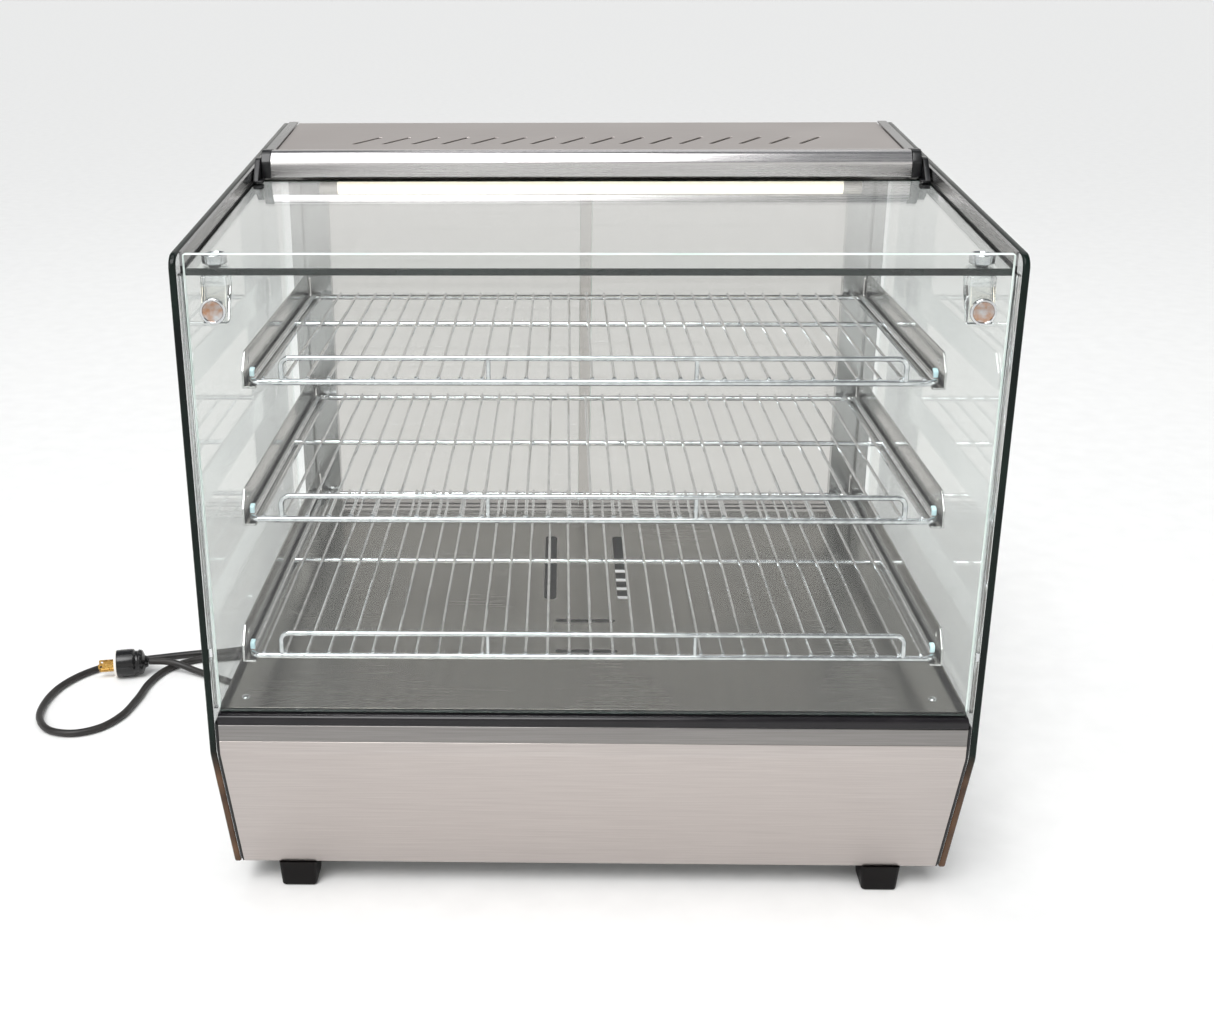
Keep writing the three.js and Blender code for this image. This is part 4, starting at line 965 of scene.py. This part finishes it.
def slot(x, y, width, length):
    """A round-ended slot centred on (x, y)."""
    across, along = width / 2, length / 2
    return oblong((x - across, x + across), (y - along, y + along), min(across, along) - 0.01, steps=8)


AIR_SLOTS = [(-2.5, 131, 61, 9), (-2.5, 168, 61, 9), (-2.5, 203, 61, 9),
             (-39, 351, 13, 187), (39, 351, 13, 187)]
air = [slot(x, front_low[1] + y, width, length) for x, y, width, length in AIR_SLOTS]
air.append(circle(*DRAIN_HOLE, 16))
deck_edge = oblong((-DECK_HALF, DECK_HALF), (deck_low[1], deck_high[1]), 0.3)
deck = plate(deck_edge, DECK_Z - SHEET, DECK_Z, "z", air, edge=0.5)
wall = panel_high[0] - SHEET
channel = folded([(DECK_Z - 0.7, DECK_HALF - 0.1, 0), (DECK_Z - DECK_DROP, DECK_HALF - 0.1, 1.2),
                  (DECK_Z - DECK_DROP, wall, 1.2), (DECK_Z + 4, wall, 0)], -SHEET)
for sign in SIDES.values():
    deck += plate(channel * [1, sign], deck_low[1], deck_high[1], "y", edge=0.3)
make("deck_sheet", deck, DECK_STEEL_PAINTED_REFLECTION, "case", ["deck_plate"])
dome = rounded([(0, 2.4, 0), (3.4, 1.8, 2.5), (4.4, 0, 0.2), (0, 0, 0)], closed=False, steps=5)
domes = []
for x, y in DECK_SCREWS:
    domes += turned(dome, (x, y, DECK_Z + 0.02), "z", 24)
make("deck_screws", domes, MIRROR, "case")

# %% [markdown]
# ## The wire shelves
# A shelf is 6 mm rod bent into a frame, with 3 mm wires every 20 mm welded across it and a 5 mm
# guard rod along the front. All of it is chromed after welding, so the joints are soft and the
# wires end in small round beads on the front rod.

# %% Shelves
ROD, WIRE, PITCH, GUARD_ROD = 6, 3, 20, 5
GUARD_INSET = 29.2
MIDDLE_ROD = 233
# A wire's end bead: how far behind the front rod, how thick and how much lower than the wire.
BEAD_ALONG = np.array([-1.2, -0.7, 0.4, 1.6, 3.2, 5, 9])
BEAD_SWELL = np.array([1.0, 2.0, 2.35, 2.2, 1.7, 1.52, 1.5])
BEAD_DROP = np.array([1.6, 1.3, 0.9, 0.5, 0.2, 0, 0])


def wire_shelf(low, high):
    """The frame loop, the rods, the wires and the guard of one shelf, from the box of its CAD node."""
    half, z = high[0] - ROD / 2, low[2] + ROD / 2
    front, rear = low[1] + ROD / 2, high[1] - ROD / 2
    loop = rounded([(-half, front, z, 9), (half, front, z, 9), (half, rear, z, 9), (-half, rear, z, 9)])
    parts = tube(loop, ROD / 2, closed=True)
    if front + MIDDLE_ROD < rear - 40:
        parts += tube([(-half, front + MIDDLE_ROD, z), (half, front + MIDDLE_ROD, z)], ROD / 2 - 0.3)
    count = 2 * int((half - 8) // PITCH) + 1
    over = z + ROD / 2 + WIRE / 2 - 0.6
    y = np.append(front + BEAD_ALONG, rear + 1)
    height = over - np.append(BEAD_DROP, 0)
    thick = np.append(BEAD_SWELL, WIRE / 2)
    for x in (np.arange(count) - (count - 1) / 2) * PITCH:
        parts += tube(np.stack([np.full(len(y), x), y, height], 1), thick, sides=8)
    reach, top = half - GUARD_INSET, high[2] - GUARD_ROD / 2
    guard = rounded([(-reach, front, z, 0), (-reach, front, top, 8), (reach, front, top, 8),
                     (reach, front, z, 0)], closed=False, steps=7)
    parts += tube(guard, GUARD_ROD / 2, beside=(0, 1, 0))
    for x in (-reach / 3, reach / 3):
        parts += tube([(x, front, z), (x, front, top)], 2.0, beside=(0, 1, 0))
    return parts


SHELVES = ("bottom", "middle", "top")
for name in SHELVES:
    make(f"wire_shelf_{name}", wire_shelf(*span(f"shelf_{name}")), CHROME, f"shelf_{name}_body",
         [f"shelf_{name}"])

# %% [markdown]
# ## The shelf arms
# Each shelf rests on a folded arm at each side: a bright sheet with a chamfered nose, a foot that
# the rod lies on, and a tab that hooks into a slot in the rear post. A pale plastic clip at the
# front keeps the rod from sliding.

# %% Arms and clips
ARM_NOSE = 16
CLIP_HALF = 2.2
for name in SHELVES:
    for side in SIDES:
        low, high = span(f"shelf_arm_{name}_{side}")
        inner, outer = sorted((abs(low[0]), abs(high[0])))
        shelf_low = span(f"shelf_{name}")[0]
        z = shelf_low[2] + ROD / 2
        back = high[1] - 13.5
        blade = rounded([
            (low[1], low[2], 1), (back, low[2], 1), (back, z, 0.5), (high[1], z, 1),
            (high[1], z + 17, 1), (back, z + 17, 0.5), (back, high[2], 1),
            (low[1] + 14, high[2], 3), (low[1], high[2] - ARM_NOSE, 3),
        ], steps=4)
        eyes = [circle(low[1] + 24, high[2] - 11, 3.2, 20), circle(back - 26, high[2] - 11, 3.2, 20)]
        parts = plate(blade, *outward(side, outer - 2, outer), "x", eyes, edge=0.4)
        foot = oblong(outward(side, inner, outer - 0.5), (low[1], back), (2, 1, 1, 2))
        parts += plate(foot, low[2], low[2] + 2, "z", edge=0.4)
        make(f"shelf_bracket_{name}_{side}", parts, ARM_STEEL, "case",
             [f"shelf_arm_{name}_{side}"])
        rod_y = shelf_low[1] + ROD / 2
        middle = sum(outward(side, inner - 0.5, outer - 2.6)) / 2
        hook = rounded([
            (rod_y + 5, z + 3.6, 1), (rod_y + 7.6, z + 3.6, 1), (rod_y + 7.6, z + 8, 2),
            (rod_y + 12, z + 9, 1.2), (rod_y + 12, z + 11.6, 1.2), (rod_y + 5, z + 10.6, 3),
        ], steps=5)
        clip = plate(hook, middle - CLIP_HALF, middle + CLIP_HALF, "x", edge=0.9, steps=4)
        make(f"rod_clip_{name}_{side}", clip, CLIP_PLASTIC, "case")

# %% [markdown]
# ## Rear doors
# Two clear acrylic doors slide past each other in aluminium tracks. Each has a black pull that is
# round at its ends and hollowed in the middle for the fingers.

# %% Doors and pulls
PULL_RIM, PULL_END = 4, 14
for side in SIDES:
    low, high = span(f"rear_door_{side}")
    sheet = oblong((low[2], high[2]), (low[0], high[0]), 2)
    # The door edges take the pale edge finish, a painted highlight.
    door = make(f"sliding_door_{side}", plate(sheet, low[1], high[1], "y", edge=0.7, rim=1),
                [DOOR_ACRYLIC, PAINTED_HIGHLIGHT_EDGE], f"door_{side}", [f"rear_door_{side}"])
    door.visible_shadow = False
    low, high = span(f"door_handle_{side}")
    grip = oblong((low[2], high[2]), (low[0], high[0]), 6, steps=8)
    hollow = oblong((low[2] + PULL_END, high[2] - PULL_END), (low[0] + PULL_RIM, high[0] - PULL_RIM), 4,
                    steps=8)
    parts = plate(grip, low[1], high[1], "y", [hollow], edge=1.6, steps=4)
    parts += plate(grip, low[1], low[1] + 2, "y", edge=0.5)
    make(f"door_pull_{side}", parts, BLACK_PLASTIC, f"door_{side}", [f"door_handle_{side}"])

# %% [markdown]
# ## Feet
# Four moulded rubber feet taper from 38 mm to 34 mm. A square with round corners is carried down
# in a few rings, and the lowest ones draw in to round the bottom edge.

# %% Feet
FOOT_UPPER, FOOT_LOWER = 38, 34


def foot(centre_x, centre_y, top, upper, lower):
    """Rings of a rounded square whose half width falls from upper to lower, drawn in by r (1 - cos a)
    over the last r of height."""
    bow = np.linspace(0, pi / 2, 5)
    draw = 2.5
    height = np.append([top, top * 0.5], draw * (1 - np.sin(bow)))
    half = lower + (upper - lower) * height / top
    half[2:] -= draw * (1 - np.cos(bow))
    square = oblong((-1, 1), (-1, 1), 0.22)
    points = np.zeros((len(height), len(square), 3))
    points[..., :2] = half[:, None, None] * square[None] + [centre_x, centre_y]
    points[..., 2] = height[:, None]
    count = len(square)
    ends = [(points[end], [list(range(count))], False, 0) for end in (0, -1)]
    return [grid(points, wrap_v=True)] + ends


for row in ("front", "rear"):
    for side in SIDES:
        low, high = span(f"foot_{row}_{side}")
        x, y, _ = (low + high) / 2
        make(f"rubber_foot_{row}_{side}", foot(x, y, high[2], FOOT_UPPER / 2, FOOT_LOWER / 2),
             FOOT_RUBBER, "case", [f"foot_{row}_{side}"])

# %% [markdown]
# ## Rear controls
# The rear panel carries the thermostat knob, two rocker switches and the louvres that cool the
# wiring. The knob has a fluted skirt, and the scale is a ring of plain ticks.

# %% Knob and scale
KNOB_HEIGHT = np.array([1.3, 2.0, 6, 9, 12.5, 14.2, 14.9])
KNOB_SHARE = np.array([0.97, 1.0, 0.99, 0.93, 0.9, 0.86, 0.78])
KNOB_SIDES, FLUTES, FLUTE_DEPTH = 96, 24, 0.03
TICKS, TICK_ANGLE = 10, 30
knob_low, knob_high = span("thermostat_knob")
face_y = span("rear_panel")[1][1]
knob_x, _, knob_z = (knob_low + knob_high) / 2
knob_place = (knob_x, face_y, knob_z)
knob_radius = (knob_high[0] - knob_low[0]) / 2
turn = np.arange(KNOB_SIDES) * 2 * pi / KNOB_SIDES
flute = 1 - FLUTE_DEPTH * (0.5 + 0.5 * np.cos(FLUTES * turn))
rings = np.zeros((len(KNOB_HEIGHT) + 2, KNOB_SIDES, 3))
rings[1:-1, :, 0] = knob_radius * KNOB_SHARE[:, None] * flute * np.cos(turn)
rings[1:-1, :, 2] = knob_radius * KNOB_SHARE[:, None] * flute * np.sin(turn)
rings[1:-1, :, 1] = KNOB_HEIGHT[:, None]
rings[0, :, 1], rings[-1, :, 1] = KNOB_HEIGHT[0], KNOB_HEIGHT[-1]
parts = placed([grid(rings, wrap_v=True)], None, knob_place)
pointer = rounded([(0, -2.6, 0.8), (0, 2.6, 0.8), (knob_radius * 0.92, 1.8, 0.8),
                   (knob_radius * 0.92, -1.8, 0.8)], steps=3)
parts += placed(plate(pointer, 10, 17.3, "y", edge=0.8), None, knob_place)
line = oblong((5, knob_radius * 0.9), (-0.6, 0.6), 0.3)
parts += placed(plate(line, 17.25, 17.4, "y", edge=0.05, finish=1), None, knob_place)
parts += tube([(knob_x, knob_low[1], knob_z), (knob_x, face_y + 2, knob_z)], 2.9, 16)
make("control_knob", parts, [BLACK_PLASTIC, WHITE_MARK], "knob", ["thermostat_knob"])

tick = plate(oblong((knob_radius + 2.5, knob_radius + 6), (-0.5, 0.5), 0.2, steps=2), 0.02, 0.14, "y",
             edge=0.05, steps=1)
marks = []
for step in range(TICKS):
    marks += placed(tick, spin("Y", -TICK_ANGLE * step), knob_place)
make("knob_scale", marks, WHITE_MARK, "case")

# %% Rocker switches
ROCKER_REST = -8
ROCKERS = {"power_switch": "power_rocker", "light_switch": "light_rocker"}
for name, body in ROCKERS.items():
    low, high = span(name)
    x, _, z = (low + high) / 2
    rocker = rounded([(4, -11.4, 1), (6.3, 0, 8), (4, 11.4, 1), (-6.8, 7.8, 1), (-6.8, -7.8, 1)], steps=5)
    half = (high[0] - low[0]) / 2
    parts = plate(rocker, -half, half, "x", edge=0.8)
    dot = oblong((-1.1, 1.1), (5, 7.4), 0.5, steps=3)
    parts += plate(dot[:, ::-1], 4.6, 5.15, "y", edge=0.1, finish=1)
    tilted = placed(parts, spin("X", ROCKER_REST), (x, face_y, z))
    make(f"{name}_rocker", tilted, [SWITCH_BLACK, WHITE_MARK], body, [name])
    hole = oblong((z - 12.6, z + 12.6), (x - 6.1, x + 6.1), 1, steps=3)
    bezel = oblong((z - 16, z + 16), (x - 9, x + 9), 2, steps=4)
    make(f"{name}_bezel", plate(bezel, face_y + 0.05, face_y + 1.8, "y", [hole], edge=0.5), SWITCH_BLACK,
         "case")

# %% [markdown]
# ## CAD pieces that keep their shape
# The posts, tracks, liner, pans, gaskets and the parts inside the base are plain sheet and bar
# whose CAD shape is already right. They only need their finish.

# %% Finishes of the kept nodes
KEPT = {
    "base_side_left": BLACK_PLASTIC, "base_side_right": BLACK_PLASTIC,
    "side_rail_left": SIDE_BAR, "side_rail_right": SIDE_BAR,
    "top_gasket_left": RUBBER, "top_gasket_right": RUBBER,
    # The ceiling liner shares the deck's darkened colour, a painted reflection.
    "rear_panel": BRUSHED_STEEL, "base_pan": ZINC, "ceiling_liner": DECK_STEEL_PAINTED_REFLECTION,
    "door_track_lower": RAIL_ALUMINIUM, "door_track_upper": RAIL_ALUMINIUM,
    "rear_post_left": POST_STEEL, "rear_post_right": POST_STEEL,
    "heating_element": HEATED_STEEL, "fan_motor": BLACK_PLASTIC, "fan_impeller": RAIL_ALUMINIUM,
    "thermostat": CERAMIC, "terminal_block": CERAMIC,
}
for node, finish in KEPT.items():
    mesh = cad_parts[node].data
    mesh.materials.clear()
    mesh.materials.append(finish)
print("kept CAD nodes:", len(KEPT))
